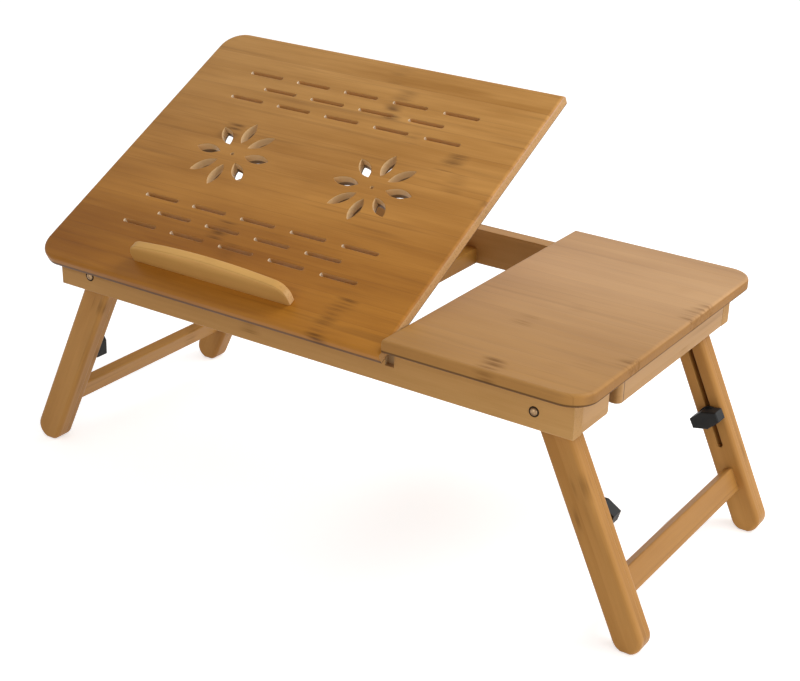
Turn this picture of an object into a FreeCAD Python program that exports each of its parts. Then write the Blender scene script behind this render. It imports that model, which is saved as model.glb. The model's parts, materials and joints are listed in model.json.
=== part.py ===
import FreeCAD, Part
import math
import os

import Sketcher

# A folding laptop table of laminated bamboo: a fixed top with a drawer under it, a wide top
# that tilts on two butt hinges and is held by a prop, and two pairs of splayed legs that fold
# inwards and lengthen. Millimetres and degrees, +X right, +Y back, +Z up, floor at Z = 0.

SIZES = {
    "top_length": (520.0, "left edge of the tilting top to right edge of the fixed top"),
    "top_depth": (300.0, "front edge to back edge of both tops"),
    "top_thickness": (10.0, "board of both tops"),
    "fixed_top_length": (168.0, "left edge to right edge of the fixed top"),
    "tops_gap": (1.2, "between the two tops"),
    "tilt_lift": (1.6, "tilting top above the rails when it lies flat"),
    "tilt_setback": (1.2, "front edge of the tilting top behind that of the fixed top"),
    "top_corner": (21.0, "radius of the outer corners, seen from above"),
    "top_edge_round": (3.0, "rounding of the upper edges of the tops"),
    "end_overhang": (14.5, "tops beyond the frame, left and right"),
    "side_overhang": (15.0, "tops beyond the frame, front and back"),
    "frame_underside": (169.0, "floor to the lower edge of the rails"),
    "rail_height": (32.0, "height of the rails"),
    "rail_thickness": (13.0, "front and back rails"),
    "end_thickness": (11.0, "end rail, end block and drawer front"),
    "front_step": (7.0, "front rail is this much lower under the tilting top"),
    "step_lap": (1.5, "low stretch of the front rail runs on under the fixed top"),
    "thumb_width": (8.0, "thumb notch in the front rail, at the end of its low stretch"),
    "thumb_height": (10.0, "thumb notch below the low stretch"),
    "thumb_depth": (5.0, "thumb notch into the rail"),
    "end_block_length": (42.0, "block beside the finger gap"),
    "end_block_corner": (3.0, "lower corner of the block at the finger gap"),
    "finger_gap": (16.5, "gap through which a finger pulls the drawer"),
    "cross_rail_inset": (90.8, "middle of the cross rail from the right edge of the tilting top"),
    "cross_rail_thickness": (16.0, "cross rail in the middle of the frame"),
    "cross_rail_height": (14.0, "cross rail and left rack"),
    "rack_thickness": (18.0, "rack on the left end rail"),
    "rack_length": (138.0, "rack on the left end rail"),
    "rack_back_gap": (24.0, "left rack to the back rail"),
    "notch_radius": (6.0, "round notches of the racks"),
    "notch_depth": (2.0, "depth of the notches"),
    "notch_pitch": (10.5, "distance between notches"),
    "notch_count": (3.0, "notches in each rack"),
    "tilt_angle": (27.7, "tilting top above level, as it stands"),
    "hinge_in": (1.0, "hinge axis in front of the front rail's back face"),
    "hinge_drop": (2.4, "hinge axis below the tilting top"),
    "hinge_length": (40.0, "leaf along the axis"),
    "hinge_leaf": (26.0, "leaf across the axis"),
    "hinge_metal": (1.2, "thickness of the leaves"),
    "knuckle_radius": (2.2, "outside of the hinge knuckles"),
    "knuckle_length": (13.8, "middle knuckle"),
    "knuckle_gap": (0.2, "between knuckles along the axis"),
    "knuckle_relief": (0.7, "leaf cut back from the other leaf's knuckle"),
    "pin_radius": (1.25, "hinge pins"),
    "pin_clearance": (0.05, "round a turning pin or bolt"),
    "hinge_left_inset": (76.0, "left hinge centre from the left edge of the tilting top"),
    "hinge_right_inset": (54.5, "right hinge centre from the right edge of the tilting top"),
    "ledge_length": (160.0, "book ledge"),
    "ledge_height": (23.5, "book ledge, at its middle"),
    "ledge_shoulder": (17.0, "book ledge, at its ends before the corners are rounded"),
    "ledge_thickness": (7.5, "book ledge"),
    "ledge_corner": (13.0, "upper corners of the book ledge"),
    "ledge_setback": (20.0, "front edge of the tilting top to the book ledge"),
    "flower_offset": (72.5, "flower centre from the middle of the tilting top"),
    "pattern_share": (0.517, "flower centres along the depth of the tilting top"),
    "petal_inner": (13.5, "flower centre to the near end of a petal"),
    "petal_outer": (38.5, "flower centre to the far end of a petal"),
    "petal_width": (10.0, "petal at its widest"),
    "petal_count": (8.0, "petals of a flower"),
    "flower_eye": (1.6, "radius of the hole in a flower's middle"),
    "slot_length": (35.0, "vent slot, end to end"),
    "slot_width": (4.0, "vent slot"),
    "slot_pitch": (51.0, "vent slots along a row"),
    "slot_row_share": (0.271, "middle row of slots from the flower centres, of the top's depth"),
    "slot_pitch_share": (0.0542, "between rows of slots, of the top's depth"),
    "bumper_radius": (4.0, "rubber bumpers under the tilting top"),
    "bumper_height": (1.4, "rubber bumpers"),
    "bumper_inset": (7.5, "bumper centre from the side edge of the tilting top"),
    "prop_reach": (88.0, "hinge axis to prop pivot, along the tilting top"),
    "prop_drop": (6.0, "prop pivot below the hinge axis, with the top flat"),
    "prop_foot_back": (57.35, "where the prop stands, behind the middle of the frame"),
    "prop_half": (5.0, "half the height of a prop arm"),
    "prop_thickness": (8.0, "prop arms"),
    "prop_rod_radius": (2.5, "rod that the prop turns on"),
    "prop_foot_clearance": (0.4, "prop foot above the rack's ridges"),
    "prop_block_width": (14.0, "blocks that carry the prop rod"),
    "prop_block_half": (6.5, "half the depth of a block, and its rounded underside"),
    "prop_block_gap": (4.0, "block to prop arm"),
    "lean_angle": (25.2, "legs out of plumb"),
    "pivot_inset": (32.0, "leg pivot from the end of the frame"),
    "pivot_height": (14.0, "leg pivot above the lower edge of the rails"),
    "leg_width": (25.0, "legs, seen from the front"),
    "leg_outer": (11.0, "outer board of a leg"),
    "leg_inner": (8.0, "inner board of a leg"),
    "leg_gap": (1.9, "leg to rail"),
    "leg_top": (9.0, "pivot to the upper end of the leg boards"),
    "leg_top_corner": (4.0, "corners of the upper end of the leg boards"),
    "foot_flat": (0.66, "depth of the flat on the rounded foot"),
    "bar_width": (18.0, "bar that slides in the leg"),
    "bar_thickness": (7.0, "bar that slides in the leg"),
    "bar_end": (12.0, "clamp bolt to the lower end of the bar"),
    "bar_clearance": (0.1, "bar to the faces of its groove"),
    "bar_side_clearance": (0.2, "bar to the sides of its groove"),
    "travel_share": (0.3436, "how far the legs lengthen, of pivot to foot"),
    "clamp_share": (0.497, "leg pivot to clamp bolt, of pivot to foot"),
    "slot_spare_share": (0.1427, "slot of the leg below the clamp bolt, of pivot to foot"),
    "leg_slot_width": (4.6, "slot of the leg"),
    "pivot_radius": (2.5, "leg pivot bolts"),
    "pivot_head_radius": (3.4, "domed heads of the pivot bolts"),
    "pivot_head_height": (2.0, "domed heads of the pivot bolts"),
    "spacer_radius": (6.5, "spacers between rail and bar"),
    "spacer_clearance": (0.1, "bar to spacer and nut"),
    "nut_across": (8.0, "across the flats of the pivot nuts"),
    "nut_height": (5.0, "pivot nuts"),
    "bolt_tip": (1.0, "bolt past its nut"),
    "clamp_radius": (2.1, "clamp bolts"),
    "clamp_head_radius": (5.5, "heads of the clamp bolts"),
    "clamp_head_height": (2.0, "heads of the clamp bolts"),
    "clamp_head_clearance": (0.1, "round a clamp bolt's head in the bar"),
    "washer_radius": (7.5, "washers under the knobs"),
    "washer_thickness": (1.0, "washers under the knobs"),
    "washer_clearance": (0.1, "washer to leg and knob"),
    "knob_length": (25.0, "wing knob, tip to tip"),
    "knob_width": (16.0, "wing knob, across its middle"),
    "knob_tip": (8.5, "wing knob, across a tip"),
    "knob_height": (12.5, "wing knob"),
    "knob_flange_radius": (8.8, "round flange of a knob"),
    "knob_flange_height": (3.0, "round flange of a knob"),
    "knob_bore_depth": (9.0, "threaded bore of a knob"),
    "knob_round": (1.4, "edges of a knob's face"),
    "right_front_knob_angle": (-15.0, "wing of the right front knob above level"),
    "right_back_knob_angle": (28.0, "wing of the right back knob above level"),
    "left_front_knob_angle": (75.0, "wing of the left front knob above level"),
    "left_back_knob_angle": (40.0, "wing of the left back knob above level"),
    "crossbar_rise": (36.8, "middle of the crossbar above the foot's centre, along the leg"),
    "crossbar_height": (20.5, "crossbar, along the leg"),
    "crossbar_thickness": (9.0, "crossbar, across the leg"),
    "tenon_shoulder": (2.2, "crossbar beyond its tenon, all round"),
    "drawer_side_inset": (8.0, "drawer box behind the finger gap"),
    "drawer_back_inset": (46.0, "drawer box in front of the back rail"),
    "drawer_left_inset": (13.4, "drawer box from the left edge of the fixed top"),
    "drawer_wall": (8.0, "sides and back of the drawer box"),
    "drawer_bottom": (3.0, "bottom board of the drawer"),
    "drawer_lift": (5.0, "drawer box above the lower edge of the rails"),
    "drawer_height": (24.0, "drawer box"),
    "drawer_front_margin": (0.5, "drawer front to rails and top"),
    "drawer_clearance": (0.4, "drawer box to its guides"),
    "guide_web": (7.0, "upright part of a drawer guide"),
    "guide_flange": (4.2, "part of a guide that the drawer runs on"),
    "guide_reach": (7.0, "flange under the drawer"),
    "guide_end_gap": (0.5, "guide to drawer front"),
    "stop_thickness": (8.0, "stop rail behind the drawer"),
    "stop_height": (24.0, "stop rail behind the drawer"),
    "stop_gap": (1.0, "drawer to stop rail"),
    "wood_round": (1.5, "eased edges of the wooden pieces"),
    "leg_round": (3.5, "soft edges of the legs"),
    "end_round": (5.0, "rounded end of the drawer front"),
}

doc = FreeCAD.newDocument("LaptopTable")
sheet = doc.addObject("Spreadsheet::Sheet", "Sizes")
for row, (alias, (number, note)) in enumerate(SIZES.items(), start=1):
    sheet.set(f"A{row}", note)
    sheet.set(f"B{row}", str(number))
    sheet.setAlias(f"B{row}", alias)
doc.recompute()


class Size:
    """A length or an angle: its number, and the formula on the sheet that gives it."""

    def __init__(self, formula, number):
        self.formula = formula
        self.number = float(number)

    def __add__(self, other):
        other = as_size(other)
        return Size(f"({self.formula} + {other.formula})", self.number + other.number)

    def __sub__(self, other):
        other = as_size(other)
        return Size(f"({self.formula} - {other.formula})", self.number - other.number)

    def __mul__(self, other):
        other = as_size(other)
        return Size(f"({self.formula} * {other.formula})", self.number * other.number)

    def __truediv__(self, other):
        other = as_size(other)
        return Size(f"({self.formula} / {other.formula})", self.number / other.number)

    def __neg__(self):
        return Size(f"(0 - {self.formula})", -self.number)


def as_size(value):
    """A Size, also from a plain count or factor."""
    return value if isinstance(value, Size) else Size(str(value), value)


def cell(alias):
    """The driving dimension that the sheet holds under an alias."""
    return Size(f"Sizes.{alias}", sheet.get(alias))


def sine(angle):
    return Size(f"sin({angle.formula})", math.sin(math.radians(angle.number)))


def cosine(angle):
    return Size(f"cos({angle.formula})", math.cos(math.radians(angle.number)))


def root(value):
    return Size(f"sqrt({value.formula})", math.sqrt(value.number))


def direction(rise, run):
    """The angle of a line above level."""
    return Size(f"atan({rise.formula} / {run.formula})", math.degrees(math.atan(rise.number / run.number)))


ZERO = Size("0", 0)
AXIS = {"x": FreeCAD.Vector(1, 0, 0), "y": FreeCAD.Vector(0, 1, 0), "z": FreeCAD.Vector(0, 0, 1)}
NODES = {}


def new_body(label):
    """An empty body whose label names its node."""
    body = doc.addObject("PartDesign::Body", "Body_" + label)
    body.Label = label
    return body


def place(item, x, y, z, axis="y", angle=None):
    """Puts an object at a point, turned by an angle about a line through that point."""
    turn = FreeCAD.Rotation(AXIS[axis], angle.number if angle else 0)
    item.Placement = FreeCAD.Placement(FreeCAD.Vector(x.number, y.number, z.number), turn)
    for name, value in zip("xyz", (x, y, z)):
        item.setExpression(f"Placement.Base.{name}", value.formula)
    if angle:
        item.setExpression("Placement.Rotation.Angle", angle.formula)


def new_sketch(body, role, offset=None):
    """A sketch on one of the body's own origin planes, or that far along the plane's normal."""
    plane = next(item for item in body.Origin.OriginFeatures if item.Role == role)
    sketch = body.newObject("Sketcher::SketchObject", f"{body.Label}_sketch")
    sketch.AttachmentSupport = [(plane, "")]
    sketch.MapMode = "FlatFace"
    if offset:
        sketch.AttachmentOffset.Base = FreeCAD.Vector(0, 0, offset.number)
        sketch.setExpression("AttachmentOffset.Base.z", offset.formula)
    return sketch


def bind(sketch, constraint, value):
    """Adds a dimension to a sketch and ties it to the sheet."""
    index = sketch.addConstraint(constraint)
    sketch.setExpression(f"Constraints[{index}]", value.formula)


def fix_point(sketch, geometry, position, x, y):
    """Sets where a point of a sketch lies."""
    for kind, value, axis in (("DistanceX", x, -2), ("DistanceY", y, -1)):
        if value.number == 0:
            sketch.addConstraint(Sketcher.Constraint("PointOnObject", geometry, position, axis))
        else:
            bind(sketch, Sketcher.Constraint(kind, -1, 1, geometry, position, value.number), value)


def arc_between(start, end, radius, turn):
    """The shorter arc between two points: counter-clockwise for a turn of 1, clockwise for -1."""
    middle = (start + end) * 0.5
    chord = end - start
    height = math.sqrt(max(radius * radius - chord.Length * chord.Length / 4, 0))
    side = FreeCAD.Vector(-chord.y, chord.x, 0).normalize() * turn
    centre = middle + side * height
    crown = centre - side * radius
    return Part.Arc(start, crown, end)


def draw_outline(sketch, corners):
    """Draws a closed outline. A corner is (x, y), or (x, y, radius, turn) where an arc follows it."""
    points = [FreeCAD.Vector(corner[0].number, corner[1].number, 0) for corner in corners]
    count = len(points)
    first = sketch.GeometryCount
    for index, corner in enumerate(corners):
        start, end = points[index], points[(index + 1) % count]
        if len(corner) == 2:
            sketch.addGeometry(Part.LineSegment(start, end))
        else:
            sketch.addGeometry(arc_between(start, end, corner[2].number, corner[3]))
    heads, tails = [], []
    for index, corner in enumerate(corners):
        forward = len(corner) == 2 or corner[3] > 0
        heads.append(1 if forward else 2)
        tails.append(2 if forward else 1)
    for index, corner in enumerate(corners):
        following = (index + 1) % count
        tail, head = (first + index, tails[index]), (first + following, heads[following])
        sketch.addConstraint(Sketcher.Constraint("Coincident", *tail, *head))
        fix_point(sketch, first + index, heads[index], corner[0], corner[1])
    for index, corner in enumerate(corners):
        if len(corner) > 2:
            bind(sketch, Sketcher.Constraint("Radius", first + index, corner[2].number), corner[2])


def draw_box(sketch, left, low, right, high):
    """Draws a rectangle."""
    draw_outline(sketch, [(left, low), (right, low), (right, high), (left, high)])


def draw_circle(sketch, x, y, radius):
    """Draws a circle."""
    centre = FreeCAD.Vector(x.number, y.number, 0)
    index = sketch.addGeometry(Part.Circle(centre, FreeCAD.Vector(0, 0, 1), radius.number))
    fix_point(sketch, index, 3, x, y)
    bind(sketch, Sketcher.Constraint("Radius", index, radius.number), radius)


def draw_bar(sketch, start, end, half):
    """Draws a bar with round ends along the sketch's first axis, in quarter circles."""
    draw_outline(
        sketch,
        [
            (start, -half),
            (end, -half, half, 1),
            (end + half, ZERO, half, 1),
            (end, half),
            (start, half, half, 1),
            (start - half, ZERO, half, 1),
        ],
    )


def pad(body, sketch, length, back=False):
    """Raises a sketch along its plane's normal, or against it."""
    feature = body.newObject("PartDesign::Pad", f"{body.Label}_pad")
    feature.Profile = sketch
    feature.Length = length.number
    feature.setExpression("Length", length.formula)
    feature.Reversed = back
    doc.recompute()
    return feature


def cut(body, sketch, depth=None, along=False):
    """Cuts a sketch into the body, to a depth or right through, along the plane's normal or against it."""
    before = body.Shape.Volume
    feature = body.newObject("PartDesign::Pocket", f"{body.Label}_pocket")
    feature.Profile = sketch
    feature.Reversed = along
    if depth:
        feature.Length = depth.number
        feature.setExpression("Length", depth.formula)
    else:
        feature.Type = "ThroughAll"
    doc.recompute()
    if body.Shape.Volume >= before:
        raise RuntimeError(f"a cut of {body.Label} removed nothing")
    return feature


def revolve(body, sketch):
    """Turns a sketch once round its second axis."""
    feature = body.newObject("PartDesign::Revolution", f"{body.Label}_revolution")
    feature.Profile = sketch
    feature.ReferenceAxis = (sketch, ["V_Axis"])
    feature.Angle = 360
    doc.recompute()
    return feature


def polar_pattern(body, feature, sketch, count):
    """Repeats a cut round the normal of its own sketch."""
    before = body.Shape.Volume
    pattern = body.newObject("PartDesign::PolarPattern", f"{body.Label}_ring")
    pattern.Originals = [feature]
    pattern.Axis = (sketch, ["N_Axis"])
    pattern.Angle = 360
    pattern.Occurrences = int(count.number)
    pattern.setExpression("Occurrences", count.formula)
    return finish_pattern(body, pattern, before)


def linear_pattern(body, feature, sketch, pitch, count):
    """Repeats a cut along the first axis of its own sketch."""
    before = body.Shape.Volume
    span = pitch * (as_size(count) - 1)
    pattern = body.newObject("PartDesign::LinearPattern", f"{body.Label}_row")
    pattern.Originals = [feature]
    pattern.Direction = (sketch, ["H_Axis"])
    pattern.Length = span.number
    pattern.setExpression("Length", span.formula)
    pattern.Occurrences = int(as_size(count).number)
    pattern.setExpression("Occurrences", as_size(count).formula)
    return finish_pattern(body, pattern, before)


def finish_pattern(body, pattern, before):
    """Makes a pattern the body's result and checks that it cut."""
    body.Tip = pattern
    doc.recompute()
    if body.Shape.Volume >= before:
        raise RuntimeError(f"a pattern of {body.Label} removed nothing")
    return pattern


def round_edges(body, radius, chosen):
    """Rounds the edges of the body that a test picks by their middle and their direction."""
    names = []
    base = body.Tip
    for number, edge in enumerate(base.Shape.Edges, start=1):
        middle = edge.valueAt((edge.FirstParameter + edge.LastParameter) / 2)
        along = edge.tangentAt((edge.FirstParameter + edge.LastParameter) / 2)
        if chosen(middle, along):
            names.append(f"Edge{number}")
    if not names:
        raise RuntimeError(f"no edge of {body.Label} to round")
    feature = body.newObject("PartDesign::Fillet", f"{body.Label}_fillet")
    feature.Base = (base, names)
    feature.Radius = radius.number
    feature.setExpression("Radius", radius.formula)
    body.Tip = feature
    doc.recompute()
    return feature


def near(value, size):
    """Whether a coordinate lies at a size."""
    return abs(value - size.number) < 1e-4


def node(item, label=None):
    """Lists an object as a node of the part."""
    if label:
        item.Label = label
    NODES[item.Label] = item
    return item


def mirrored(source, label, axis):
    """A mirror image across the middle of the table."""
    image = doc.addObject("Part::Mirroring", "Mirror_" + label)
    image.Source = source
    image.Base = FreeCAD.Vector(0, 0, 0)
    image.Normal = AXIS[axis]
    image.Label = label
    return image


def joined(label, items):
    """Several equal solids as one object."""
    group = doc.addObject("Part::Compound", "Group_" + label)
    group.Links = items
    group.Label = label
    return group


def board(label, x, y, z):
    """A board between two values along each axis."""
    body = new_body(label)
    sketch = new_sketch(body, "XY_Plane")
    draw_box(sketch, ZERO, ZERO, x[1] - x[0], y[1] - y[0])
    pad(body, sketch, z[1] - z[0])
    place(body, x[0], y[0], z[0])
    return node(body)


# Places that several pieces share
top_length = cell("top_length")
top_depth = cell("top_depth")
frame_half = top_length / 2 - cell("end_overhang")
frame_side = top_depth / 2 - cell("side_overhang")
rail_thickness = cell("rail_thickness")
inside = frame_side - rail_thickness
underside = cell("frame_underside")
rail_height = cell("rail_height")
rail_top = underside + rail_height
end_inner = frame_half - cell("end_thickness")
fixed_left = top_length / 2 - cell("fixed_top_length")
tilt_right = fixed_left - cell("tops_gap")
tilt_left = -(top_length / 2)
tilt_middle = (tilt_left + tilt_right) / 2
tilt_depth = top_depth - cell("tilt_setback")
cross_rail_x = tilt_right - cell("cross_rail_inset")
rack_x = cell("rack_thickness") / 2 - end_inner
step_end = fixed_left + cell("step_lap")
rack_top = underside + cell("cross_rail_height")
tilt = cell("tilt_angle")
hinge_y = -inside - cell("hinge_in")
hinge_z = rail_top + cell("tilt_lift") - cell("hinge_drop")
hinge_drop = cell("hinge_drop")
tilt_front = cell("tilt_setback") - top_depth / 2 - hinge_y
pivot_x = frame_half - cell("pivot_inset")
pivot_z = underside + cell("pivot_height")
lean = cell("lean_angle")
wood_round = cell("wood_round")


def on_tilt(y, z):
    """Where a point of the tilting top lies, from its place about the hinge axis with the top flat."""
    back = hinge_y + y * cosine(tilt) - z * sine(tilt)
    height = hinge_z + y * sine(tilt) + z * cosine(tilt)
    return back, height


def place_on_tilt(item, x, y, z):
    """Puts an object on the tilting top."""
    back, height = on_tilt(y, z)
    place(item, x, back, height, "x", tilt)


def make_rails():
    """The long rails with their low stretch under the tilting top, and the bores of the leg pivots."""
    length = frame_half * 2
    low = rail_height - cell("front_step")
    step = frame_half + step_end
    high_end = [(ZERO, ZERO), (length, ZERO), (length, rail_height)]
    stepped = high_end + [(step, rail_height), (step, low), (ZERO, low)]
    plain = high_end + [(ZERO, rail_height)]
    rails = (("front_rail", stepped, -frame_side, ZERO), ("back_rail", plain, inside, rail_thickness))
    for label, corners, front, outer in rails:
        body = new_body(label)
        sketch = new_sketch(body, "XZ_Plane")
        draw_outline(sketch, corners)
        pad(body, sketch, rail_thickness, back=True)
        bores = new_sketch(body, "XZ_Plane")
        for middle in (cell("pivot_inset"), length - cell("pivot_inset")):
            draw_circle(bores, middle, cell("pivot_height"), cell("pivot_radius"))
        cut(body, bores)
        if corners is stepped:
            thumb = new_sketch(body, "XZ_Plane")
            draw_box(thumb, step - cell("thumb_width"), low - cell("thumb_height"), step, low)
            cut(body, thumb, cell("thumb_depth"))
        round_edges(body, wood_round, lambda at, along: near(at.y, outer) and near(at.z, ZERO))
        place(body, -frame_half, front, underside)
        node(body)


def make_frame_boards():
    """The end rail, the end block beside the finger gap and the fixed top."""
    board("left_end_rail", (-frame_half, -end_inner), (-inside, inside), (underside, rail_top))
    block_end, low_corner = cell("end_block_length"), cell("end_block_corner")
    body = new_body("right_end_block")
    sketch = new_sketch(body, "YZ_Plane")
    draw_outline(
        sketch,
        [
            (ZERO, ZERO),
            (block_end - low_corner, ZERO, low_corner, 1),
            (block_end, low_corner),
            (block_end, rail_height),
            (ZERO, rail_height),
        ],
    )
    pad(body, sketch, cell("end_thickness"))
    round_edges(body, wood_round, lambda at, along: near(at.y, block_end) and abs(along.z) > 0.9)
    place(body, end_inner, -inside, underside)
    node(body)

    top = new_body("fixed_top")
    sketch = new_sketch(top, "XY_Plane")
    length, corner = cell("fixed_top_length"), cell("top_corner")
    draw_outline(
        sketch,
        [
            (ZERO, ZERO),
            (length - corner, ZERO, corner, 1),
            (length, corner),
            (length, top_depth - corner, corner, 1),
            (length - corner, top_depth),
            (ZERO, top_depth),
        ],
    )
    thickness = cell("top_thickness")
    pad(top, sketch, thickness)
    round_edges(top, cell("top_edge_round"), lambda at, along: near(at.z, thickness) and at.x > 1)
    round_edges(top, wood_round, lambda at, along: near(at.z, ZERO) and at.x > 1)
    place(top, fixed_left, -(top_depth / 2), rail_top)
    node(top)


def make_racks():
    """The cross rail and the batten on the left end rail, with the notches that the prop stands in."""
    foot = cell("prop_foot_back")
    pitch, count = cell("notch_pitch"), cell("notch_count")
    first = foot - pitch * (count - 1) / 2
    height, radius = cell("cross_rail_height"), cell("notch_radius")
    middle_thickness = cell("cross_rail_thickness")
    rack_front = inside - cell("rack_back_gap") - cell("rack_length")
    racks = (
        ("middle_cross_rail", cross_rail_x - middle_thickness / 2, middle_thickness, -inside, inside * 2),
        ("left_rack", -end_inner, cell("rack_thickness"), rack_front, cell("rack_length")),
    )
    for label, left, thickness, front, length in racks:
        body = new_body(label)
        sketch = new_sketch(body, "YZ_Plane")
        draw_box(sketch, ZERO, ZERO, length, height)
        pad(body, sketch, thickness)
        notch = new_sketch(body, "YZ_Plane")
        draw_circle(notch, first - front, height + radius - cell("notch_depth"), radius)
        pocket = cut(body, notch, along=True)
        linear_pattern(body, pocket, notch, pitch, count)
        place(body, left, front, underside)
        node(body)


def make_tilting_top():
    """The tilting top with two through-cut flowers and six rows of vent slots."""
    body = new_body("tilting_top")
    sketch = new_sketch(body, "XY_Plane")
    length, corner = tilt_right - tilt_left, cell("top_corner")
    draw_outline(
        sketch,
        [
            (corner, ZERO),
            (length, ZERO),
            (length, tilt_depth),
            (corner, tilt_depth, corner, 1),
            (ZERO, tilt_depth - corner),
            (ZERO, corner, corner, 1),
        ],
    )
    thickness = cell("top_thickness")
    pad(body, sketch, thickness)
    round_edges(body, cell("top_edge_round"), lambda at, along: near(at.z, thickness))
    round_edges(body, wood_round, lambda at, along: near(at.z, ZERO))
    middle_x, middle_y = length / 2, tilt_depth * cell("pattern_share")
    for side in (-1, 1):
        cut_flower(body, middle_x + cell("flower_offset") * side, middle_y)
    for side in (-1, 1):
        for line in (-1, 0, 1):
            share = cell("slot_row_share") * side + cell("slot_pitch_share") * line
            row = middle_y + tilt_depth * share
            cut_slot_row(body, middle_x, row, 5 if line else 4)
    place_on_tilt(body, tilt_left, tilt_front, hinge_drop)
    node(body)


def cut_flower(body, x, y):
    """Cuts one flower: a small eye and a ring of lens-shaped petals."""
    sketch = new_sketch(body, "XY_Plane")
    sketch.AttachmentOffset.Base = FreeCAD.Vector(x.number, y.number, 0)
    sketch.setExpression("AttachmentOffset.Base.x", x.formula)
    sketch.setExpression("AttachmentOffset.Base.y", y.formula)
    inner, outer, width = cell("petal_inner"), cell("petal_outer"), cell("petal_width")
    half, bulge = (outer - inner) / 2, width / 2
    radius = (half * half + bulge * bulge) / width
    draw_outline(sketch, [(ZERO, inner, radius, 1), (ZERO, outer, radius, 1)])
    petal = cut(body, sketch, along=True)
    polar_pattern(body, petal, sketch, cell("petal_count"))
    eye = new_sketch(body, "XY_Plane")
    draw_circle(eye, x, y, cell("flower_eye"))
    cut(body, eye, along=True)


def cut_slot_row(body, middle, row, count):
    """Cuts one row of vent slots, set evenly about the middle of the top."""
    half = cell("slot_width") / 2
    pitch = cell("slot_pitch")
    straight = cell("slot_length") / 2 - half
    first = middle - pitch * (count - 1) / 2
    sketch = new_sketch(body, "XY_Plane")
    sketch.AttachmentOffset.Base = FreeCAD.Vector(first.number, row.number, 0)
    sketch.setExpression("AttachmentOffset.Base.x", first.formula)
    sketch.setExpression("AttachmentOffset.Base.y", row.formula)
    draw_bar(sketch, -straight, straight, half)
    slot = cut(body, sketch, along=True)
    linear_pattern(body, slot, sketch, pitch, count)


def make_ledge():
    """The book ledge: a strip on edge with a gently crowned top and rounded upper corners."""
    body = new_body("book_ledge")
    sketch = new_sketch(body, "XZ_Plane")
    half, shoulder = cell("ledge_length") / 2, cell("ledge_shoulder")
    crown = cell("ledge_height") - shoulder
    crown_radius = (half * half + crown * crown) / (crown * 2)
    draw_outline(
        sketch,
        [(-half, ZERO), (half, ZERO), (half, shoulder, crown_radius, 1), (-half, shoulder)],
    )
    thickness = cell("ledge_thickness")
    pad(body, sketch, thickness, back=True)
    round_edges(body, cell("ledge_corner"), lambda at, along: near(at.z, shoulder))
    faces = (ZERO, thickness)
    round_edges(
        body, wood_round, lambda at, along: any(near(at.y, face) for face in faces) and at.z > 1
    )
    place_on_tilt(body, tilt_middle, tilt_front + cell("ledge_setback"), hinge_drop + cell("top_thickness"))
    node(body)


def make_bumpers():
    """Two rubber bumpers that meet the back rail when the tilting top lies flat."""
    pads = []
    inset = cell("bumper_inset")
    for label, x in (("bumper_left", tilt_left + inset * 2), ("bumper_right", tilt_right - inset)):
        body = new_body(label)
        sketch = new_sketch(body, "XY_Plane")
        draw_circle(sketch, ZERO, ZERO, cell("bumper_radius"))
        pad(body, sketch, cell("bumper_height"))
        over_rail = frame_side - rail_thickness / 2 - hinge_y
        place_on_tilt(body, x, over_rail, hinge_drop - cell("bumper_height"))
        pads.append(body)
    node(joined("bumper_pads", pads))


def make_hinges():
    """Two butt hinges between the front rail's back face and the tilting top's underside."""
    length, metal = cell("hinge_length"), cell("hinge_metal")
    radius, pin = cell("knuckle_radius"), cell("pin_radius")
    middle = cell("knuckle_length") / 2
    gap = cell("knuckle_gap")
    clear = radius + cell("knuckle_relief")
    back, leaf = cell("hinge_in"), cell("hinge_leaf")
    left_x = tilt_left + cell("hinge_left_inset")
    right_x = tilt_right - cell("hinge_right_inset")
    for side, x in (("left", left_x), ("right", right_x)):
        start = x - length / 2
        rail_leaf = new_body(f"hinge_{side}_rail_leaf")
        add_leaf(rail_leaf, (back, -leaf), (back + metal, ZERO), length)
        notch = new_sketch(rail_leaf, "XY_Plane", offset=-clear)
        draw_box(notch, length / 2 - middle - gap, -clear, length / 2 + middle + gap, clear)
        cut(rail_leaf, notch, clear * 2, along=True)
        bore_leaf(rail_leaf, pin)
        place(rail_leaf, start, hinge_y, hinge_z)
        node(rail_leaf)

        top_leaf = new_body(f"hinge_{side}_top_leaf")
        add_leaf(top_leaf, (ZERO, hinge_drop - metal), (leaf, hinge_drop), length)
        notches = new_sketch(top_leaf, "XY_Plane", offset=-clear)
        draw_box(notches, -gap, -clear, length / 2 - middle, clear)
        draw_box(notches, length / 2 + middle, -clear, length + gap, clear)
        cut(top_leaf, notches, clear * 2, along=True)
        bore_leaf(top_leaf, pin + cell("pin_clearance"))
        place_on_tilt(top_leaf, start, ZERO, ZERO)
        node(top_leaf)

        rod = new_body(f"hinge_{side}_pin")
        sketch = new_sketch(rod, "YZ_Plane")
        draw_circle(sketch, ZERO, ZERO, pin)
        pad(rod, sketch, length)
        place(rod, start, hinge_y, hinge_z)
        node(rod)


def add_leaf(body, low, high, length):
    """A hinge leaf with its full-length knuckle about the axis."""
    knuckle = new_sketch(body, "YZ_Plane")
    draw_circle(knuckle, ZERO, ZERO, cell("knuckle_radius"))
    pad(body, knuckle, length)
    plate = new_sketch(body, "YZ_Plane")
    draw_box(plate, low[0], low[1], high[0], high[1])
    pad(body, plate, length)


def bore_leaf(body, radius):
    """The bore of a leaf's knuckles."""
    sketch = new_sketch(body, "YZ_Plane")
    draw_circle(sketch, ZERO, ZERO, radius)
    cut(body, sketch, along=True)


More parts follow.
